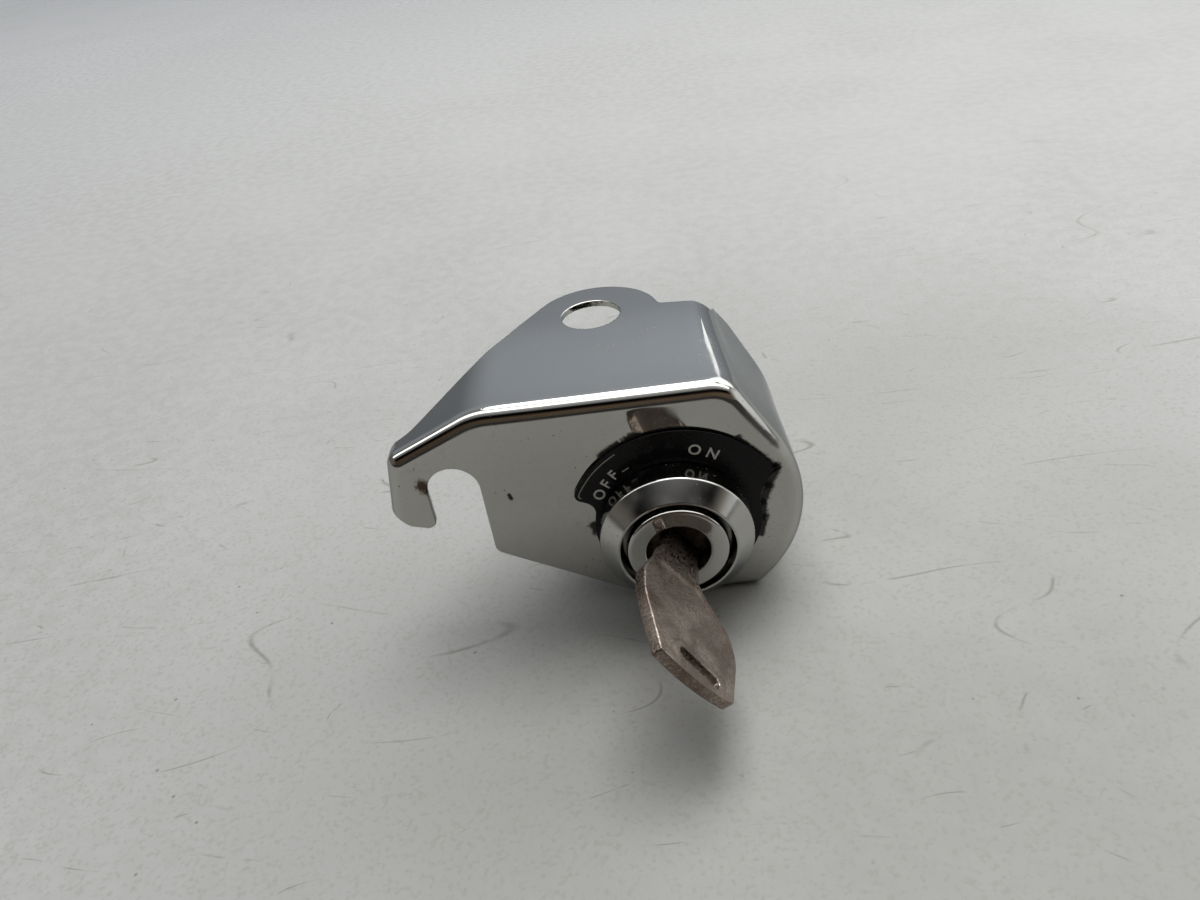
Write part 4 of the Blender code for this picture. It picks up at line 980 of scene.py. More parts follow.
def finish_piece(piece: bpy.types.Object, finish: object, body: Body,
                 replaces: Sequence[str] = ()) -> bpy.types.Object:
    """Gives a piece its material, its body and the CAD nodes that it stands for.

    Args:
        piece: The object.
        finish: A finish with a material and a slot.
        body: The body that it rides on.
        replaces: The nodes that it stands for.

    Returns:
        The same object.
    """
    piece.data.materials.clear()
    piece.data.materials.append(FINISHES.use(finish))
    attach(piece, body.value)
    if replaces:
        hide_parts(*replaces)
    LOG.info("%s: %d faces on %s", piece.name, len(piece.data.polygons), body.value)
    return piece


class FinishShelf:
    """Keeps one material for each finish."""

    def __init__(self) -> None:
        """Starts empty."""
        self.made: dict[object, bpy.types.Material] = {}

    def use(self, finish: object) -> bpy.types.Material:
        """The finish's material, made the first time it is asked for."""
        if finish not in self.made:
            self.made[finish] = finish.material()
        return self.made[finish]


FINISHES = FinishShelf()


# Sub-assemblies

@dataclass
class Cover:
    """The chromed pressing: a face with a hook slot, folded back into flange, tab and cheek."""

    sheet: float = 1.4
    fold: float = 3.0
    top: tuple[float, float] = (90.0, 30.0)
    slant: tuple[float, float] = (31.7, 26.6)
    end: tuple[float, float] = (-45.0, 25.8)
    bottom: tuple[float, float] = (-90.0, 20.2)
    chin: tuple[float, float] = (241.0, 20.2)
    shoulder: tuple[float, float] = (114.5, 42.0)
    hook: tuple[float, float] = (170.0, 56.5)
    tip: tuple[float, float] = (255.5, 7.55)
    chamfer: tuple[float, float] = (225.0, 33.0)
    slot_left: float = 47.1
    slot_right: float = 36.7
    slot_top: float = 18.5
    lip_start: float = 4.0
    lip_depths: tuple[float, float] = (6.0, 14.0)
    relief: tuple[float, float] = (1.6, 3.2)
    relief_corner: float = 0.6
    bottom_corner: float = 4.0
    top_corner: float = 7.0
    shoulder_corner: float = 14.0
    hook_corner: float = 3.8
    tip_corners: tuple[float, float] = (2.4, 1.7)
    chin_corners: tuple[float, float] = (2.2, 20.2)
    lock_hole: float = 11.1
    bolt: tuple[float, float] = (-12.5, 33.2)
    bolt_hole: float = 6.2
    tab_centre: tuple[float, float] = (-11.6, 32.6)
    tab_radius: float = 13.5
    tab_fillet: float = 1.6
    tab_root: tuple[float, float, float] = (22.8, 27.6, 20.0)
    wing: tuple[tuple[float, float, float], ...] = (
        (-12.9, 2.2, 0.0), (1.3, 6.2, 0.0), (4.3, 7.0, 6.0), (13.5, 15.9, 8.0),
        (16.8, 18.9, 12.0))
    flange_corner: float = 13.97
    flange_ends: tuple[float, float] = (33.0, 34.4)
    cheek: tuple[tuple[float, float, float], ...] = (
        (34.8, 33.6, 0.0), (34.8, 29.4, 1.4), (37.6, 26.4, 2.6), (39.0, 22.6, 2.6),
        (34.4, 12.5, 2.6), (34.4, 9.9, 2.6), (27.0, 0.0, 14.0), (15.4, -17.0, 6.0),
        (14.0, -20.2, 6.0), (14.0, -22.8, 0.0))
    hook_lip: tuple[tuple[float, float], ...] = ((8.0, 1.7), (21.5, 6.7), (24.5, 9.7))
    end_radius: float = 27.98
    lean: tuple[tuple[float, float], ...] = ((-45.0, 0.0), (31.7, -1.3), (90.0, 1.0),
                                             (114.5, 0.8), (170.0, 0.0))
    lean_depth: float = 30.0
    crown: float = 0.35
    crown_from: float = 24.0
    crown_over: float = 38.0
    outline_step: float = 1.1
    net: float = 1.5
    strip: float = 0.4
    rim: float = 0.25

    def folded(self) -> Array:
        """The stretch of the outline that is folded back, from the bottom lip round to the hook's
        outer corner, with columns where the tab's edge needs them."""
        lip = (self.lip_start, -self.bottom[1], 0.0)
        last = (*meet(self.hook, self.chamfer), 0.0)
        path = rounded([lip, (*meet(self.bottom, self.end), self.bottom_corner),
                        (*meet(self.end, self.slant), self.end_radius),
                        (*meet(self.slant, self.top), self.top_corner),
                        (*meet(self.top, self.shoulder), self.shoulder_corner),
                        (*meet(self.shoulder, self.hook), self.hook_corner), last], closed=False)
        path = densified(path, self.outline_step)
        path = np.vstack([path[:1], path[0] + self.strip * np.array([1.0, 0.0]), path[1:-1],
                          path[-1] + 1.4 * self.strip * (path[-2] - path[-1])
                          / np.linalg.norm(path[-2] - path[-1]), path[-1:]])
        level = np.flatnonzero(np.abs(path[:, 1] - self.top[1]) < 1e-6)
        tab = self.flange_edge()[:, 0]
        span = path[level, 0]
        extra = tab[(tab > span.min() + 0.1) & (tab < span.max() - 0.1)]
        across = np.sort(np.concatenate([span, extra]))[::-1]
        across = across[np.concatenate([[True], -np.diff(across) > 0.03])]
        top = np.column_stack([across, np.full(len(across), self.top[1])])
        return np.vstack([path[:level[0]], top, path[level[-1] + 1:]])

    def cut(self, start: Array, end: Array) -> Array:
        """The stretch that is only cut: hook tip, slot, chin and the relief by the lip.

        Args:
            start: Where it leaves the fold on the hook's chamfer.
            end: Where it meets the fold in the relief.

        Returns:
            The path from one to the other.
        """
        left, right = (0.0, -self.slot_left), (180.0, self.slot_right)
        slot = (-90.0, -self.slot_top)
        half = (self.slot_left - self.slot_right) / 2
        width, depth = self.relief
        foot = -self.bottom[1]
        path = rounded([
            (*start, 0.0), (*meet(self.chamfer, self.tip), self.tip_corners[0]),
            (*meet(self.tip, left), self.tip_corners[1]), (*meet(left, slot), half),
            (*meet(slot, right), half), (*meet(right, self.chin), self.chin_corners[0]),
            (*meet(self.chin, self.bottom), self.chin_corners[1]),
            (self.lip_start - width, foot, 0.0),
            (self.lip_start - width, foot + depth, self.relief_corner),
            (self.lip_start, foot + depth, self.relief_corner), (*end, 0.0)],
            closed=False, step=5.0)
        return densified(path, self.outline_step)

    def flange_edge(self) -> Array:
        """The back edge over the shoulder and the flange, as (x, y) from left to right: wing,
        line tangent to the tab's circle, the circle, its fillet, and the flange's own edge."""
        corner = meet(self.shoulder, self.hook)[0]
        centre = np.array(self.tab_centre)
        root = np.array([corner + self.tab_root[0], self.tab_root[1]])
        line = centre - root
        lean = np.degrees(np.arctan2(line[1], line[0]) + np.arcsin(self.tab_radius
                                                                   / np.linalg.norm(line)))
        reach = self.tab_radius + self.tab_fillet
        low = np.degrees(np.arcsin((self.flange_ends[1] + self.tab_fillet - centre[1]) / reach))
        fillet = centre + at_angle(reach, low)
        touch = arc(self.tab_radius, lean + 90.0, low, centre)
        wing = rounded([(corner + x, y, radius) for x, y, radius in self.wing]
                       + [(*root, self.tab_root[2]), (*touch[0], 0.0)], closed=False)
        turn = arc(self.tab_fillet, low + 180.0, 270.0, fillet, 10.0)
        ends = np.array([[self.flange_corner - 1.6, self.flange_ends[0]],
                         [self.flange_corner, self.flange_ends[1]]])
        return np.vstack([wing[:-1], touch, turn[1:], ends])

    def depth(self, path: Array) -> Array:
        """How far back the wall reaches at each place of the folded stretch.

        Args:
            path: The folded stretch.

        Returns:
            A depth for each of its points.
        """
        x, z = path.T
        edge = self.flange_edge()
        depth = np.interp(x, edge[:, 0], edge[:, 1])
        cheek = rounded(self.cheek, closed=False)[::-1]
        depth = np.where(x > self.flange_corner, np.interp(z, cheek[:, 1], cheek[:, 0]), depth)
        lip = np.interp(x, [self.lip_start, self.flange_corner], self.lip_depths)
        depth = np.where((z < 0.0) & (x < self.flange_corner) & (x > 0.0), lip, depth)
        hook = np.minimum(depth, np.interp(z, *np.transpose(self.hook_lip)))
        return np.where((x < -self.slot_left - self.fold) & (z > 0.0), hook, depth)

    def crowned(self, points: Array) -> Array:
        """How far the face falls back: it is flat round the lock and eases away beyond it.

        Args:
            points: Places on the face, as (across, up).

        Returns:
            The fall at each.
        """
        away = np.linalg.norm(points[..., :2], axis=-1) - self.crown_from
        away = np.clip(away / self.crown_over, 0.0, 1.0)
        return self.crown * away * away * (3.0 - 2.0 * away)

    def on_face(self, flat: Array) -> Array:
        """Carries (across, up) to the crowned face."""
        return np.stack([flat[..., 0], self.crowned(flat), flat[..., 1]], axis=-1)

    def patch(self, sheet: Surface, seam: Array, edge: Array, hole: Array,
              place: Callable[[Array], Array]) -> None:
        """Fills a flat region: a narrow strip along its cut edge and its hole, then triangles.

        Args:
            sheet: The surface that it is added to.
            seam: The points shared with the fold.
            edge: The cut edge, from the seam's last point back to its first.
            hole: The hole, turning right.
            place: What carries flat points to the lock frame.
        """
        inset = edge - self.strip * outward(edge, closed=False)
        inset[0], inset[-1] = seam[-2], seam[1]
        wider = hole - self.strip * outward(hole)
        sheet.grid(place(np.stack([edge, inset])))
        sheet.grid(place(np.stack([hole, wider])), wrap=True)
        spots, faces = filled([np.vstack([seam[1:-1], inset[1:-1]]), wider], self.net)
        sheet.add(place(spots), faces)

    def build(self) -> bpy.types.Object:
        """Face, fold and wall as one sheet, then its thickness.

        The fold is a grid of quarter circles: at bend angle b a point lies fold x (1 - sin b)
        inside the outline and fold x (1 - cos b) behind the face, up to the wall's depth.  The
        wall is filled in its unrolled plane, (distance along the outline, depth).

        Returns:
            The cover.
        """
        path = self.folded()
        depth = self.depth(path)
        shallow = np.flatnonzero(depth < self.fold)
        turn = int(shallow[0])
        depth[turn] = self.fold
        draw = -outward(path, closed=False)
        toward = meet(self.chamfer, self.tip) - path[-1]
        toward /= np.linalg.norm(toward)
        draw[-1] = toward / float(toward @ draw[-1])
        limit = np.arccos(np.clip(1.0 - depth / self.fold, 0.0, 1.0))
        bend = np.linspace(0.0, 1.0, 13)[:, None] * limit[None]
        ring = path[None] + self.fold * (1.0 - np.sin(bend))[..., None] * draw[None]
        back = self.fold * (1.0 - np.cos(bend))
        sheet = Surface()
        sheet.grid(np.stack([ring[..., 0], back + (1.0 - back / self.fold) * self.crowned(ring),
                             ring[..., 1]], axis=-1))
        front = ring[0]
        inner = (front + self.strip * draw)[1:-1]
        sheet.grid(self.on_face(np.stack([front[1:-1], inner])))
        seam = np.vstack([front[:2], inner, front[-2:]])
        hole = arc(self.lock_hole, 360.0, 0.0, step=2.5)[:-1]
        self.patch(sheet, seam, self.cut(front[-1], front[0]), hole, self.on_face)
        self.add_wall(sheet, path, depth, turn)
        return sheet.sheet_metal("chrome_cover", self.sheet, self.rim, np.array([0.0, -1.0, 0.0]))

    def add_wall(self, sheet: Surface, path: Array, depth: Array, turn: int) -> None:
        """Fills the wall in its unrolled plane and rolls it back round the outline.

        Args:
            sheet: The surface that it is added to.
            path: The folded stretch of the outline.
            depth: The wall's depth at each of its points.
            turn: The first point where the wall ends within the fold.
        """
        along = np.concatenate([[0.0], np.cumsum(np.linalg.norm(np.diff(path, axis=0), axis=1))])
        front = np.column_stack([along[:turn + 1], np.full(turn + 1, self.fold)])
        rear = np.column_stack([along[:turn + 1], depth[:turn + 1]])
        deep = np.flatnonzero(depth[:turn + 1] > self.fold + 2.0 * self.strip)
        last = int(deep[-1])
        inner = front[1:last + 1] + np.array([0.0, self.strip])
        inner[0, 0] += 0.1 * self.strip
        seam = np.vstack([front[:2], inner, front[last:]])
        side = densified(np.vstack([rear[:1], front[:1]]), 1.2)
        edge = np.vstack([front[-1:], rear[1:last + 1][::-1], side])
        level = np.flatnonzero(np.abs(path[:, 1] - self.top[1]) < 1e-6)
        centre = np.interp(-self.bolt[0], -path[level, 0], along[level])
        hole = arc(self.bolt_hole, 360.0, 0.0, (centre, self.bolt[1]), 4.0)[:-1]

        normal = outward(path, closed=False)
        angle = np.degrees(np.arctan2(normal[:, 1], normal[:, 0]))
        lean = np.interp(np.where(angle < -100.0, angle + 360.0, angle), *np.transpose(self.lean))

        def rolled(flat: Array) -> Array:
            """Rolls the wall up: each side leans out or in by its own amount, eased in with the
            share of the full depth.

            Args:
                flat: Points as (distance along the outline, depth).

            Returns:
                The points in the lock frame.
            """
            share = np.clip((flat[..., 1] - self.fold) / self.lean_depth, 0.0, 1.0)
            share = share * share * (3.0 - 2.0 * share)
            shift = share * np.interp(flat[..., 0], along, lean)
            across, up = [np.interp(flat[..., 0], along, path[:, i])
                          + shift * np.interp(flat[..., 0], along, normal[:, i]) for i in (0, 1)]
            return np.stack([across, flat[..., 1], up], axis=-1)

        sheet.grid(rolled(np.stack([front[1:last + 1], inner])))
        self.patch(sheet, seam, edge, hole, rolled)

    def dress(self) -> None:
        """Builds the cover and gives it worn chrome, with rust by the slot, grimy patches round the
        label and a painted dark reflection at the hook's corner, each as a line's two ends and its
        reach."""
        finish = ChromePlate(
            rust_spots=((-47.6, 15.4, -46.8, 13.8, 2.0),),
            grime_and_shade=((20.2, 10.4, 18.7, 6.2, 1.5), (18.7, 6.2, 17.4, 2.4, 1.5),
                   (17.4, 2.4, 17.5, -1.6, 1.2), (17.5, -1.6, 16.8, -5.6, 1.2),
                   (13.4, 17.8, 20.0, 10.6, 1.2), (-12.6, 17.8, -9.0, 19.8, 1.0),
                   (-7.0, 20.6, -5.4, 21.2, 1.6), (-16.2, 1.2, -15.6, -0.6, 1.4),
                   # the first patch on this line, at the hook's corner, is a painted dark reflection
                   # in the fold's crease
                   (-53.0, 21.2, -51.6, 22.4, 1.1), (-31.4, 11.0, -31.2, 10.0, 0.6)))
        finish_piece(self.build(), finish, Body.FIXED, ["cover"])


@dataclass
class Label:
    """The black label plate under the nut, with its pale line and its printed words."""

    radius: float = 21.8
    ring: float = 16.5
    hole: float = 11.9
    shift: float = 0.7
    centre: float = 92.0
    half: float = 65.0
    corner: float = 1.6
    fillets: tuple[float, float] = (3.0, 8.0)
    front: float = -0.8
    back: float = -0.3
    line_width: float = 0.22
    line_inset: float = 0.75
    line_end: float = 118.0
    line_foot: float = 2.2
    words: tuple[tuple[str, float, float], ...] = (       # letter, angle, radius
        ("O", 146.5, 16.7), ("F", 137.0, 16.9), ("F", 128.5, 17.2),
        ("O", 73.0, 17.9), ("N", 61.5, 17.9))
    letter: float = 2.2
    font_over_letter: float = 1.42
    stroke_gain: float = 0.045
    ink: float = 0.05
    tick_radii: tuple[float, float] = (16.66, 16.40)
    tick_angles: tuple[float, float] = (117.0, 122.5)

    def outline(self, inset: float = 0.0) -> Array:
        """A sector of a ring whose ends run by fillets into the circle that the nut sits on.

        Args:
            inset: How far inside the edge the outline is drawn.

        Returns:
            The closed outline, turning left.
        """
        left, right = self.centre + self.half, self.centre - self.half
        corner, outer = self.corner - inset, self.radius - self.corner
        spread = np.degrees(np.arcsin(self.corner / outer))
        foot = [float(np.degrees(np.arcsin(fillet / (self.ring + fillet))))
                for fillet in self.fillets]
        place = [at_angle(outer, angle) for angle in (left - spread, right + spread)]
        feet = [at_angle(self.ring + fillet, angle)
                for fillet, angle in zip(self.fillets, (left + foot[0], right - foot[1]))]
        first, second = self.fillets[0] + inset, self.fillets[1] + inset
        loop = np.vstack([
            arc(self.radius - inset, right + spread, left - spread),
            arc(corner, left - spread, left + 90.0, place[0], 9.0)[1:],
            arc(first, left + 270.0, left + 180.0 + foot[0], feet[0], 9.0),
            arc(self.ring - inset, left + foot[0], right + 360.0 - foot[1])[1:],
            arc(second, right + 180.0 - foot[1], right + 90.0, feet[1], 9.0)[1:],
            arc(corner, right - 90.0, right + spread, place[1], 9.0)[:-1]])
        return loop + np.array([self.shift, 0.0])

    def plate(self) -> bpy.types.Object:
        """The enamelled plate."""
        surface = Surface()
        hole = arc(self.hole, 360.0, 0.0, (self.shift, 0.0))[:-1]
        surface.plate([self.outline(), hole], self.front, self.back, 0.12)
        return surface.built("enamel_label")

    def line(self) -> Surface:
        """The printed line: a thin band between two insets of the outline, left of the words."""
        left = self.centre + self.half
        band = Surface()
        outer, inner = self.outline(self.line_inset), self.outline(self.line_inset + self.line_width)
        angle = np.degrees(np.arctan2(outer[:, 1], outer[:, 0])) % 360.0
        keep = (angle < left - 0.5) & (angle > self.line_end)
        keep &= np.linalg.norm(outer, axis=1) > self.ring + self.line_foot
        first = int(np.flatnonzero(~np.roll(keep, 1) & keep)[0])
        order = np.roll(np.arange(len(outer)), -first)
        order = order[keep[order]]
        strip = np.vstack([outer[order], inner[order][::-1]])
        band.plate([strip], self.front - self.ink, self.front + 0.02, 0.01, steps=1)
        return band

    def letters(self) -> Array:
        """The letters' points and faces, each letter turned to stand on its radius."""
        made = Surface()
        for text, angle, radius in self.words:
            curve = bpy.data.curves.new("letter", "FONT")
            curve.body = text
            curve.size = self.letter * self.font_over_letter
            curve.align_x = "CENTER"
            curve.offset = self.stroke_gain
            curve.extrude = self.ink / 2 + 0.01
            carrier = bpy.data.objects.new("letter", curve)
            bpy.context.scene.collection.objects.link(carrier)
            graph = bpy.context.evaluated_depsgraph_get()
            mesh = bpy.data.meshes.new_from_object(carrier.evaluated_get(graph))
            bpy.data.objects.remove(carrier, do_unlink=True)
            flat = np.empty(3 * len(mesh.vertices))
            mesh.vertices.foreach_get("co", flat)
            flat = flat.reshape(-1, 3)
            lean = np.radians(angle - 90.0)
            up = flat[:, 1] - self.letter / 2 + radius
            across = flat[:, 0] * np.cos(lean) - up * np.sin(lean)
            height = flat[:, 0] * np.sin(lean) + up * np.cos(lean)
            level = self.front - self.ink / 2 + 0.01 - flat[:, 2]
            points = np.column_stack([across, level, height])
            faces = [list(face.vertices) for face in mesh.polygons]
            made.points.append(points)
            made.faces += [[index + made.count for index in face] for face in faces]
            made.count += len(points)
            bpy.data.meshes.remove(mesh)
        return made

    def ticks(self) -> Surface:
        """The short index mark beside OFF, as a thin bar along the circle."""
        made = Surface()
        (outer, inner), (first, last) = self.tick_radii, self.tick_angles
        bar = np.vstack([arc(outer, first, last, step=1.0), arc(inner, last, first, step=1.0)])
        made.plate([bar], self.front - self.ink, self.front + 0.02, 0.01, steps=1)
        return made

    def dress(self) -> None:
        """Builds the plate and its print."""
        finish_piece(self.plate(), LabelEnamel(), Body.FIXED, ["label_plate"])
        finish_piece(self.line().built("label_line"), PrintInk("pale_border_print", "#a9a294", 0.6),
                     Body.FIXED)
        finish_piece(self.letters().built("label_words"), PrintInk(), Body.FIXED)
        finish_piece(self.ticks().built("label_ticks"), PrintInk("worn_tick_print", "#9a978f", 0.6),
                     Body.FIXED)


@dataclass
class FaceNut:
    """The conical chromed nut, with a flat ring at its mouth."""

    radius: float = 15.0
    bore: float = 11.1
    back: float = -1.1
    rim: float = -6.1
    front: float = -9.3
    mouth: float = 0.45

    def dress(self) -> None:
        """A closed profile with small rounds, turned about the lock axis."""
        profile = rounded([(self.bore, self.front, 0.12), (self.bore + self.mouth, self.front, 0.15),
                           (self.radius, self.rim, 0.55), (self.radius, self.back - 0.4, 0.2),
                           (self.radius - 0.4, self.back, 0.2), (self.bore, self.back, 0.1)],
                          step=15.0, support=0.12)
        surface = Surface()
        surface.turned(profile, 160)
        finish = ChromePlate("chrome_plate_nut", haze=(0.12, 0.25), pit_spacing=1.3,
                             pit_depth=0.003)
        finish_piece(surface.built("conical_nut"), finish, Body.FIXED, ["face_nut"])


@dataclass
class LockCap:
    """The chromed cap that turns with the plug: a flat ring round a dark mouth."""

    radius: float = 9.85
    bore: float = 6.1
    front: float = -9.6
    back: float = -6.3

    def dress(self) -> None:
        """A closed profile with a rounded shoulder, turned about the lock axis."""
        profile = rounded([(self.bore, self.front, 0.45), (self.radius, self.front, 0.75),
                           (self.radius, self.back, 0.2), (self.bore, self.back, 0.1)],
                          step=12.0, support=0.12)
        surface = Surface()
        surface.turned(profile, 144)
        finish = ChromePlate("chrome_plate_cap", haze=(0.09, 0.20), pit_spacing=1.1,
                             pit_depth=0.003)
        finish_piece(surface.built("lock_cap"), finish, Body.PLUG, ["plug_cap"])


@dataclass
class Housing:
    """The die-cast housing: neck, collar, barrel and the can for the switch."""

    bore: float = 8.3
    neck: float = 10.8
    neck_front: float = -6.0
    collar: float = 14.5
    collar_front: float = 2.8
    barrel: float = 12.8
    can: float = 18.0
    can_end: float = 33.4
    can_bore: float = 16.0
    ring_groove: tuple[float, float, float] = (17.0, 30.8, 32.2)
    switch_room: tuple[float, float, float] = (15.0, 17.5, 27.9)
    rotor_recess: tuple[float, float] = (10.3, 15.8)

    def dress(self) -> None:
        """The outer and inner profile as one closed line, turned about the lock axis."""
        groove, groove_front, groove_back = self.ring_groove
        room, room_front, room_back = self.switch_room
        recess, recess_front = self.rotor_recess
        profile = rounded([
            (self.bore, self.neck_front, 0.2), (self.neck, self.neck_front, 0.4),
            (self.neck, self.collar_front, 0.1), (self.collar, self.collar_front, 0.4),
            (self.collar, 6.0, 0.3), (self.barrel, 6.8, 0.4), (self.barrel, 14.0, 1.0),
            (self.can, 16.6, 1.2), (self.can, self.can_end, 0.5),
            (self.can_bore, self.can_end, 0.4), (self.can_bore, groove_back, 0.1),
            (groove, groove_back, 0.1), (groove, groove_front, 0.1),
            (self.can_bore, groove_front, 0.1), (self.can_bore, room_back, 0.1),
            (room, room_back, 0.1), (room, room_front, 0.4), (recess, room_front, 0.2),
            (recess, recess_front, 0.1), (self.bore, recess_front, 0.1)],
            step=15.0, support=0.12)
        surface = Surface()
        surface.turned(profile, 160)
        finish_piece(surface.built("cast_housing"), ZincCasting(), Body.FIXED, ["lock_housing"])


@dataclass
class Key:
    """The flat key: blade with its cuts, stop shoulder, broad bow with a ring slot."""

    thickness: float = 2.3
    half_blade: float = 4.2
    tip: float = 14.0
    wafers: tuple[float, ...] = (0.2, 3.1, 6.0, 8.9, 11.8)
    cuts: tuple[float, ...] = (0.9, 0.3, 1.2, 0.6, 0.9)
    cut_half: float = 0.45
    bow: tuple[tuple[float, float, float], ...] = (
        (4.3, -11.7, 0.2), (3.8, -16.6, 1.5), (5.2, -18.8, 4.0), (11.0, -24.2, 5.0),
        (12.4, -29.5, 12.0), (9.2, -41.4, 2.0), (0.0, -43.4, 60.0), (-9.2, -41.4, 0.9),
        (-12.4, -29.5, 12.0), (-12.0, -24.2, 4.0), (-7.0, -15.6, 3.0), (-6.2, -13.2, 0.5),
        (-4.3, -10.8, 0.5))
    slot_half: float = 3.85
    slot_radius: float = 1.15
    slot_lean: float = -9.0
    slot_at: tuple[float, float] = (0.8, -38.8)
    rim: float = 1.5
    relief: float = 0.22
    relief_from: float = -18.5
    groove_from: float = -15.5
    groove_at: float = 1.7
    groove_half: float = 0.62
    groove_depth: float = 0.42

    def outline(self) -> Array:
        """Tip, cut edge, shoulder, bow and plain edge, as (across, along)."""
        edge: list[tuple[float, float, float]] = [(1.8, self.tip, 0.5),
                                                  (self.half_blade, self.tip - 2.6, 0.4)]
        for middle, depth in reversed(list(zip(self.wafers, self.cuts))):
            first, last = middle - self.cut_half, middle + self.cut_half
            if last + depth > self.tip - 2.8:
                continue
            low = self.half_blade - depth
            edge += [(self.half_blade, last + depth, 0.12), (low, last, 0.2),
                     (low, first, 0.2), (self.half_blade, first - depth, 0.12)]
        edge += [*self.bow, (-self.half_blade, self.tip - 2.6, 0.4), (-1.8, self.tip, 0.5)]
        path = rounded(edge, step=6.0)
        return densified(path[::-1], 0.8, closed=True)

    def ring_slot(self) -> Array:
        """The slot for a key ring, leaning with the bow's far edge, turning right."""
        shape = np.vstack([arc(self.slot_radius, -90.0, 90.0, (self.slot_half, 0.0), 10.0),
                           arc(self.slot_radius, 90.0, 270.0, (-self.slot_half, 0.0), 10.0)])
        shape = swung(shape, self.slot_lean) + np.array(self.slot_at)
        return densified(shape[::-1], 0.8, closed=True)

    def frame(self) -> Array:
        """Rows that carry (across, along, thickness) to the lock frame at the OFF position."""
        lean = np.radians(KEY_REST_ANGLE)
        return np.array([[np.cos(lean), 0.0, -np.sin(lean)], [0.0, 1.0, 0.0],
                         [np.sin(lean), 0.0, np.cos(lean)]])

    def build(self) -> bpy.types.Object:
        """The plate, whose bow is pressed in a little inside a raised rim, with milled grooves.

        Returns:
            The key.
        """
        surface = Surface()
        outline = self.outline()
        half = self.thickness / 2
        surface.plate([outline, self.ring_slot()], -half, half, 0.28, FLAT, spacing=0.5, steps=4)
        blocks = np.vstack(surface.points)
        away = np.min(np.linalg.norm(blocks[:, None, :2] - outline[None, ::2], axis=2), axis=1)
        slot = np.min(np.linalg.norm(blocks[:, None, :2] - self.ring_slot()[None], axis=2), axis=1)
        away = np.minimum(away, slot + 0.3)
        panel = np.clip((away - self.rim) / 0.5, 0.0, 1.0)
        panel = panel * np.clip(self.relief_from - blocks[:, 1], 0.0, 1.0)
        panel = panel * panel * (3.0 - 2.0 * panel) * self.relief
        side = np.sign(blocks[:, 2])
        groove = 1.0 - np.abs(blocks[:, 0] - side * self.groove_at) / self.groove_half
        groove = np.clip(groove, 0.0, 1.0) ** 0.5 * (blocks[:, 1] > self.groove_from)
        groove = groove * self.groove_depth
        flat = np.abs(np.abs(blocks[:, 2]) - half) < 1e-6
        blocks[:, 2] -= np.where(flat, side * np.maximum(panel, groove), 0.0)
        surface.points = [blocks @ self.frame()]
        return surface.built("flat_key")

    def dress(self) -> None:
        """Builds the key and gives it worn nickel silver."""
        finish_piece(self.build(), NickelSilver(), Body.KEY, ["key"])


@dataclass
class Washer:
    """The toothed lock washer between the housing's collar and the cover."""

    radius: float = 14.6
    root: float = 13.0
    bore: float = 11.1
    teeth: int = 14
    front: float = 1.7
    back: float = 2.5

    def dress(self) -> None:
        """Teeth as alternate arcs on two circles, carried through the washer's thickness."""
        share = 360.0 / self.teeth
        start = np.arange(self.teeth) * share
        wave = np.array([0.0, 0.18, 0.37, 0.55, 0.65, 0.775, 0.9])
        radius = np.array([self.radius] * 4 + [self.root] * 3)
        angle = np.radians((start[:, None] + share * wave[None]).ravel())
        path = np.tile(radius, self.teeth)[:, None] * np.column_stack([np.cos(angle), np.sin(angle)])
        surface = Surface()
        surface.plate([path, arc(self.bore, 360.0, 0.0)[:-1]], self.front, self.back, 0.08)
        finish_piece(surface.built("toothed_washer"), PlatedSteel(), Body.FIXED, ["lock_washer"])


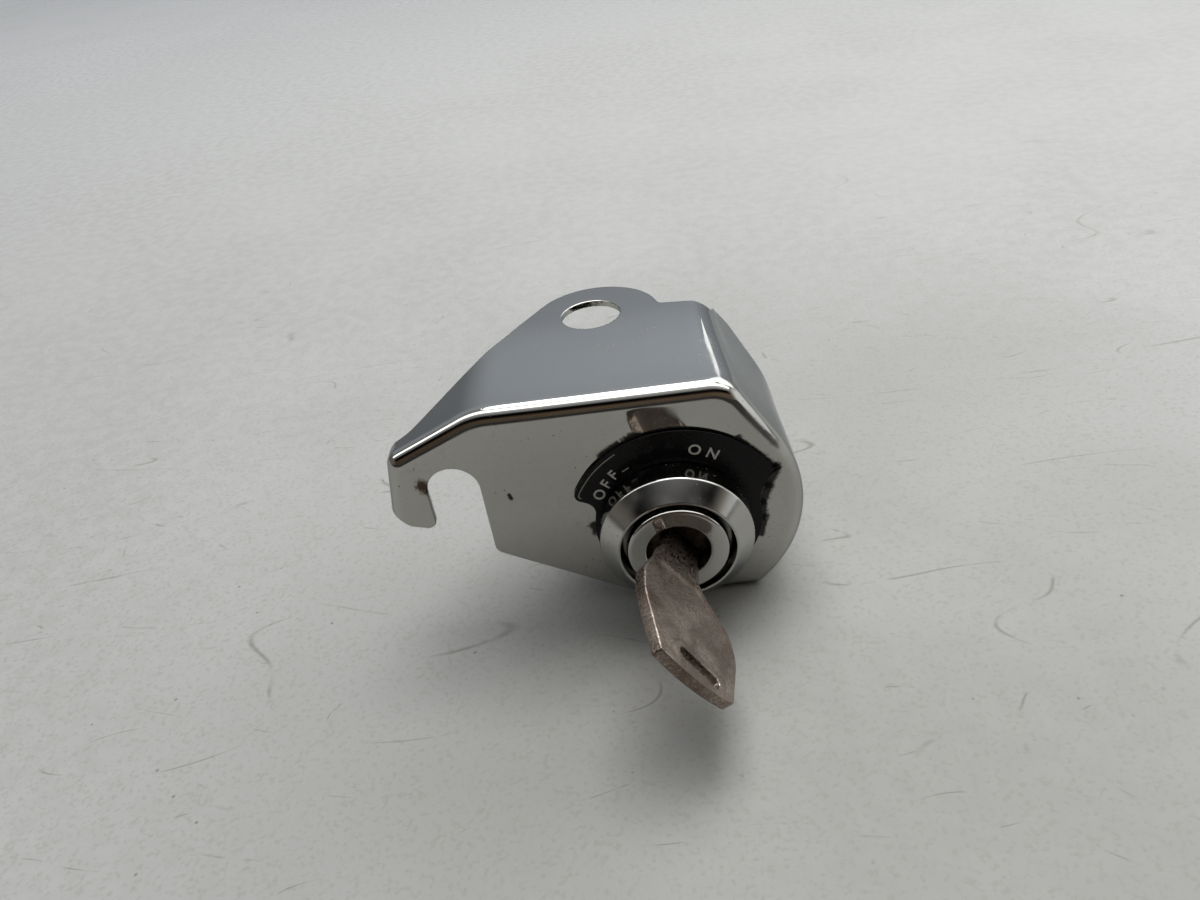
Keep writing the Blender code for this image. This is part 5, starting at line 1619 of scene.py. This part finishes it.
@dataclass
class TerminalBoard:
    """The moulded board with its ribs, the snap ring, three terminals and their screws."""

    radius: float = 15.7
    front: float = 28.2
    back: float = 30.7
    circle: float = 9.5
    angles: tuple[tuple[str, float], ...] = (("battery", 90.0), ("ignition", 210.0),
                                             ("lights", 330.0))
    hole: float = 1.8
    rib: tuple[float, float, float] = (13.1, 0.8, 3.2)    # length, half width, rise
    ring_radii: tuple[float, float] = (16.7, 14.6)
    ring_ends: tuple[float, float] = (-80.0, 260.0)
    ring_sides: tuple[float, float] = (31.0, 32.0)
    post: tuple[tuple[float, float, float], ...] = (
        (0.0, 26.4, 0.0), (2.2, 26.4, 0.35), (2.2, 27.9, 0.1), (1.5, 27.9, 0.1),
        (1.5, 31.0, 0.1), (3.2, 31.0, 0.15), (3.2, 34.6, 0.2), (1.5, 34.6, 0.1),
        (1.5, 32.1, 0.1), (0.0, 32.1, 0.0))
    shank: tuple[tuple[float, float, float], ...] = (
        (0.0, 32.4, 0.0), (1.2, 32.4, 0.2), (1.2, 34.9, 0.05), (2.9, 34.9, 0.15),
        (2.9, 35.8, 0.05), (0.0, 35.8, 0.0))
    head: float = 2.9
    head_sides: tuple[float, float] = (35.7, 36.5)
    slot_half: float = 0.4

    def board(self) -> bpy.types.Object:
        """The disc with its three holes, and three ribs between the terminals."""
        surface = Surface()
        holes = [arc(self.hole, 360.0, 0.0, at_angle(self.circle, angle), 9.0)[:-1]
                 for _, angle in self.angles]
        surface.plate([arc(self.radius, 0.0, 360.0)[:-1], *holes], self.front, self.back, 0.25)
        length, half, rise = self.rib
        rib = rounded([(-0.3, -half, 0.3), (length, -half, 0.3), (length, half, 0.3),
                       (-0.3, half, 0.3)], step=15.0)
        for _, angle in self.angles:
            surface.plate([swung(rib, angle + 180.0)], self.back - 1.0, self.back + rise, 0.25)
        return surface.built("terminal_board_moulding")

    def ring(self) -> bpy.types.Object:
        """The open snap ring in its groove."""
        surface = Surface()
        (outer, inner), (first, last) = self.ring_radii, self.ring_ends
        loop = np.vstack([arc(outer, first, last), arc(inner, last, first)])
        surface.plate([loop], *self.ring_sides, 0.12)
        return surface.built("snap_ring")

    def terminal(self, name: str, centre: tuple[float, float]) -> bpy.types.Object:
        """A riveted terminal: contact head, shank through the board, and a boss for the screw.

        Args:
            name: What it leads to.
            centre: Where it stands.

        Returns:
            The terminal.
        """
        surface = Surface()
        surface.turned(rounded(self.post, closed=False, step=18.0, support=0.06), 64, centre)
        return surface.built(f"terminal_post_{name}")

    def screw(self, number: int, centre: tuple[float, float]) -> bpy.types.Object:
        """A cheese-head screw with its slot: two half-round heads over a round shank.

        Args:
            number: Which one, from zero, which also sets how its slot is turned.
            centre: Where it stands.

        Returns:
            The screw.
        """
        surface = Surface()
        surface.turned(rounded(self.shank, closed=False, step=18.0, support=0.05), 64, centre)
        gap = float(np.degrees(np.arcsin(self.slot_half / self.head)))
        for side in (0.0, 180.0):
            half = arc(self.head, side + gap, side + 180.0 - gap, step=6.0)
            half = swung(half, -40.0 * number - 20.0) + np.array(centre)
            surface.plate([half], *self.head_sides, 0.22, steps=4)
        return surface.built(f"cheese_head_screw_{number + 1}")

    def dress(self) -> None:
        """Builds the board, the ring, the terminals and the screws."""
        finish_piece(self.board(), Phenolic(), Body.FIXED, ["terminal_board"])
        finish_piece(self.ring(), PlatedSteel(), Body.FIXED, ["board_ring"])
        for number, (name, angle) in enumerate(self.angles):
            centre = tuple(at_angle(self.circle, angle))
            finish_piece(self.terminal(name, centre), TurnedBrass(), Body.FIXED,
                         [f"terminal_{name}"])
            finish_piece(self.screw(number, centre), PlatedSteel(), Body.FIXED,
                         [f"terminal_screw_{number + 1}"])


@dataclass
class InnerWorks:
    """The CAD pieces inside the lock, which keep their own meshes and get their finishes."""

    nodes: dict[str, bpy.types.Object]

    def dress(self) -> None:
        """Gives every inner node its material."""
        brass, steel = TurnedBrass(), PlatedSteel()
        # painted shade: the lock plug's brass is painted nearly black for the shade deep in the
        # keyhole recess
        dull = TurnedBrass("lock_brass_painted_shade", "#3b3128", "#15110e")
        looks: dict[str, object] = {"lock_plug": dull, "contact_bridge": brass,
                                    "switch_rotor": Phenolic(), "plug_clip": steel,
                                    "detent_ball": steel, "detent_spring": steel,
                                    "contact_spring": steel}
        looks.update({f"wafer_{number}": brass for number in range(1, 6)})
        for name, finish in looks.items():
            materials = self.nodes[name].data.materials
            materials.clear()
            materials.append(FINISHES.use(finish))
            LOG.info("%s: CAD node with %s", name, finish.name)


@dataclass
class Studio:
    """The pale board that the switch lies on, the soft light and the camera."""

    floor_level: float = -20.35
    floor_size: float = 6000.0
    camera_at: tuple[float, float, float] = (0.823, -146.667, 118.822)
    rows: tuple[tuple[float, float, float], ...] = ((0.9901, -0.0059, -0.1399),
                                                    (-0.1187, -0.566, -0.8158),
                                                    (-0.0744, 0.8244, -0.5611))
    focal: float = 28.344
    lamps: tuple[tuple[str, Sequence[float], Sequence[float], Sequence[float], float], ...] = (
        ("ceiling_panel", (60.0, 300.0, 860.0), (0.0, 0.0, 0.0), (600.0, 450.0), 4.6),
        ("ceiling_strip", (-300.0, -150.0, 1000.0), (-300.0, -150.0, 0.0), (3600.0, 340.0), 12.3),
        ("far_window", (550.0, 500.0, 650.0), (0.0, 0.0, 0.0), (900.0, 700.0), 3.4))
    reflected_only: tuple[str, ...] = ("ceiling_strip",)
    # near: the floor's own tone; far, with the far glow: painted light, the floor painted brighter
    # and glowing with distance behind the switch
    floor_tone_and_painted_light: tuple[str, str] = ("#c6c6c2", "#f4f4f2")        # near, far
    far_from: tuple[float, float] = (0.10, 1.60)                   # metres behind the switch
    far_lean: float = -0.7                                         # how far X counts in that
    far_glow: float = 0.20
    detail_ends: tuple[float, float] = (0.32, 0.02)
    # painted shadow round the switch: its centre in the lock frame, mm, and its reach, m, from none
    # to full
    painted_shade_at: tuple[float, float] = (30.0, -10.0)
    painted_shade_ends: tuple[float, float] = (0.20, 0.03)
    # painted shade: the floor goes dark in front of the frame, which only the chrome reflects
    front_shade_ends: tuple[float, float] = (95.0, 145.0)                # mm in front of the lock
    scratch_kinds: tuple[tuple[float, float, float, float], ...] = (
        (70.0, 0.13, 3.1, 0.4), (42.0, 0.10, 7.7, 1.3), (90.0, 0.15, 12.3, -0.5),
        (24.0, 0.08, 21.9, 0.9))
    diffuse_share: float = 0.55
    side_colours: tuple[str, str] = ("#8f8b86", "#f2f5f8")
    side_from: tuple[float, float] = (0.72, 0.92)
    window_from: tuple[float, float] = (0.85, 0.97)
    left_share: float = 0.7
    right_share: float = 1.25
    share_over: tuple[float, float] = (-0.7, 0.5)
    backdrop: str = "#bfc0c1"
    room: tuple[tuple[float, str], ...] = (
        (0.0, "#9a9ca0"), (18.0, "#a9aeb6"), (34.0, "#c6cdd8"), (60.0, "#c8cfd6"),
        (74.0, "#9fa4a9"), (88.0, "#b4b8bc"), (113.0, "#e0e0e2"), (120.0, "#b4b6b8"),
        (128.0, "#9c9c9e"), (134.0, "#2a2a2a"), (141.0, "#050404"), (149.0, "#080605"),
        (156.0, "#4a3c33"), (165.0, "#6e5d4d"), (176.0, "#5a4d3c"))

    def floor(self) -> None:
        """A wide level sheet with its pale mottled paint.  Painted light: it is painted brighter,
        and glows, with distance; painted shade: darker round the switch, and in front of the frame,
        where only the chrome shows it."""
        half = self.floor_size / 2
        side = np.array([-half, half])
        across, along = np.meshgrid(side, side)
        surface = Surface()
        surface.grid(np.dstack([across, along, np.full_like(across, self.floor_level)]))
        board = surface.built("studio_floor", closed=False)
        if board.data.polygons[0].normal.z < 0.0:
            board.data.flip_normals()
        paint = Painter("pale_painted_board")
        mottle = paint.cloud(5.0, 0.36, 0.66, 6.0)
        broad = paint.cloud(90.0, 0.30, 0.70, 3.0)
        grit = paint.cloud(0.9, 0.48, 0.72, 3.0)
        specks = paint.pits(7.0, 0.07, 0.46)
        scratch = paint.either(*[paint.scratches(*kind) for kind in self.scratch_kinds])
        axes = add_node(paint.tree, "ShaderNodeSeparateXYZ", {0: paint.place})
        depth, across = axes.outputs["Y"], axes.outputs["X"]
        back = maths(paint.tree, "MULTIPLY_ADD", across, self.far_lean, depth)
        # painted light: the floor is painted brighter with distance behind the switch and to the
        # left
        far = smooth(paint.tree, back, *self.far_from)
        clear = add_node(paint.tree, "ShaderNodeMapRange", {
            "Value": depth, "From Min": self.detail_ends[0],
            "From Max": self.detail_ends[1]}).outputs[0]
        # painted shadow: the floor is painted darker towards the switch
        away = add_node(paint.tree, "ShaderNodeVectorMath", {
            0: paint.place, 1: spot(*self.painted_shade_at, self.floor_level)}, operation="DISTANCE")
        painted_shade = smooth(paint.tree, away.outputs["Value"], *self.painted_shade_ends)
        colour = paint.over(linear(self.floor_tone_and_painted_light[0]), self.floor_tone_and_painted_light[1], far)
        for code, mask, strength in (
                ("#97968f", painted_shade, 0.6), ("#b4b3ad", mottle, 0.40), ("#d4d4d1", broad, 0.35),
                ("#9c968b", paint.times(grit, clear), 0.36),
                ("#7f776c", paint.times(scratch, clear), 0.6),
                ("#6f5f4e", paint.times(specks, clear), 0.6)):
            colour = paint.over(colour, code, mask, strength)
        path = add_node(paint.tree, "ShaderNodeLightPath")
        shown = maths(paint.tree, "ADD", path.outputs["Is Camera Ray"],
                      path.outputs["Is Glossy Ray"], clamp=True)
        # painted light: the far floor glows for the camera and in reflections
        lift = paint.times(paint.times(shown, far), self.far_glow)
        # painted shade in front of the frame, seen only in the chrome
        front = smooth(paint.tree, depth, *[MM * (LOCK_AXIS[1] - end) for end in self.front_shade_ends])
        colour = paint.over(colour, "#2f2824", front)
        paint.set(Base_Color=colour, Roughness=0.62, Normal=paint.bump(mottle, 0.012),
                  Emission_Color=linear("#f0f2f4"), Emission_Strength=lift)
        board.data.materials.append(paint.material)
        board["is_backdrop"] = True

    def world(self) -> None:
        """A room for the chrome to reflect, with a plain pale background for the camera.

        Its brightness goes by the angle that a direction makes with the horizon behind the
        switch, taken over the top to the front: blue-grey wall, pale ceiling, then the dark
        round the camera and the brown of the room in front.  Far to either side the wall is
        dull, with a bright window at the right end.
        """
        world = bpy.data.worlds.new("studio_room")
        bpy.context.scene.world = world
        world.use_nodes = True
        tree = world.node_tree
        tree.nodes.clear()
        place = add_node(tree, "ShaderNodeTexCoord").outputs["Generated"]
        parts = add_node(tree, "ShaderNodeSeparateXYZ", {0: place})
        angle = maths(tree, "ARCTAN2", parts.outputs["Z"], parts.outputs["Y"])
        share = add_node(tree, "ShaderNodeMapRange", {"Value": angle, "From Max": np.pi})
        ramp = add_node(tree, "ShaderNodeValToRGB", {0: share.outputs[0]})
        elements = ramp.color_ramp.elements
        (first, below), *rest, (last, front) = self.room
        elements[0].position, elements[0].color = first / 180.0, linear(below)
        elements[1].position, elements[1].color = last / 180.0, linear(front)
        for degrees, code in rest:
            elements.new(degrees / 180.0).color = linear(code)
        across = parts.outputs["X"]
        fade = smooth(tree, across, *self.share_over, ends=(self.left_share, self.right_share))
        aside = smooth(tree, maths(tree, "ABSOLUTE", across), *self.side_from)
        right = add_node(tree, "ShaderNodeMapRange", {
            "Value": across, "From Min": self.window_from[0], "From Max": self.window_from[1]})
        sides = add_node(tree, "ShaderNodeMix", {
            0: right.outputs[0], 6: linear(self.side_colours[0]),
            7: linear(self.side_colours[1])}, data_type="RGBA")
        walls = add_node(tree, "ShaderNodeMix", {0: aside, 6: ramp.outputs[0],
                                                 7: sides.outputs[2]}, data_type="RGBA")
        path = add_node(tree, "ShaderNodeLightPath")
        glossy = add_node(tree, "ShaderNodeMapRange", {
            "Value": path.outputs["Is Glossy Ray"], "To Min": self.diffuse_share, "To Max": 1.0})
        lit = add_node(tree, "ShaderNodeBackground", {
            "Color": walls.outputs[2],
            "Strength": maths(tree, "MULTIPLY", fade, glossy.outputs[0])})
        seen = add_node(tree, "ShaderNodeBackground", {"Color": linear(self.backdrop)})
        both = add_node(tree, "ShaderNodeMixShader", {0: path.outputs["Is Camera Ray"],
                                                      1: lit.outputs[0], 2: seen.outputs[0]})
        add_node(tree, "ShaderNodeOutputWorld", {"Surface": both.outputs[0]})

    def lamp(self, name: str, at: Sequence[float], aim: Sequence[float], size: Sequence[float],
             watts: float) -> None:
        """A large soft lamp.

        Args:
            name: Its name.
            at: Its place in the lock frame, mm.
            aim: What it points at, mm.
            size: Its width and height, mm.
            watts: Its power.
        """
        data = bpy.data.lights.new(name, "AREA")
        data.shape = "RECTANGLE"
        data.size, data.size_y = MM * size[0], MM * size[1]
        data.energy = watts
        lamp = bpy.data.objects.new(name, data)
        lamp.location = MM * (np.array(at) + LOCK_AXIS)
        line = Vector(np.array(aim, float) - np.array(at, float))
        lamp.rotation_euler = line.to_track_quat("-Z", "Y").to_euler()
        lamp.visible_diffuse = name not in self.reflected_only
        bpy.context.scene.collection.objects.link(lamp)

    def camera(self) -> None:
        """The photograph's camera, from its place and its rows of right, down and forward."""
        right, down, forward = np.array(self.rows)
        data = bpy.data.cameras.new("photo_camera")
        data.sensor_width = 36.0
        data.lens = self.focal
        data.clip_start, data.clip_end = 0.005, 20.0
        camera = bpy.data.objects.new("photo_camera", data)
        turn = np.eye(4)
        turn[:3, 0], turn[:3, 1], turn[:3, 2] = right, -down, -forward
        turn[:3, 3] = MM * (np.array(self.camera_at) + LOCK_AXIS)
        camera.matrix_world = Matrix(turn.tolist())
        bpy.context.scene.collection.objects.link(camera)
        bpy.context.scene.camera = camera

    def dress(self) -> None:
        """Sets the stage."""
        scene = bpy.context.scene
        scene.view_settings.view_transform = "Standard"
        self.floor()
        self.world()
        for lamp in self.lamps:
            self.lamp(*lamp)
        self.camera()


def corners() -> list[list[float]]:
    """The shown object's lowest and highest corner, as plain lists."""
    return [[float(value) for value in corner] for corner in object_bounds()]


def main() -> None:
    """Loads the frame and builds every piece in order."""
    logging.basicConfig(level=logging.INFO, format="%(name)s %(message)s")
    for obj in list(bpy.data.objects):
        bpy.data.objects.remove(obj, do_unlink=True)
    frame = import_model()
    for assembly in (Cover(), Label(), FaceNut(), LockCap(), Housing(), Key(), Washer(),
                     TerminalBoard(), InnerWorks(frame["nodes"]), Studio()):
        LOG.info("building %s", type(assembly).__name__)
        assembly.dress()


if __name__ == "__main__":
    main()
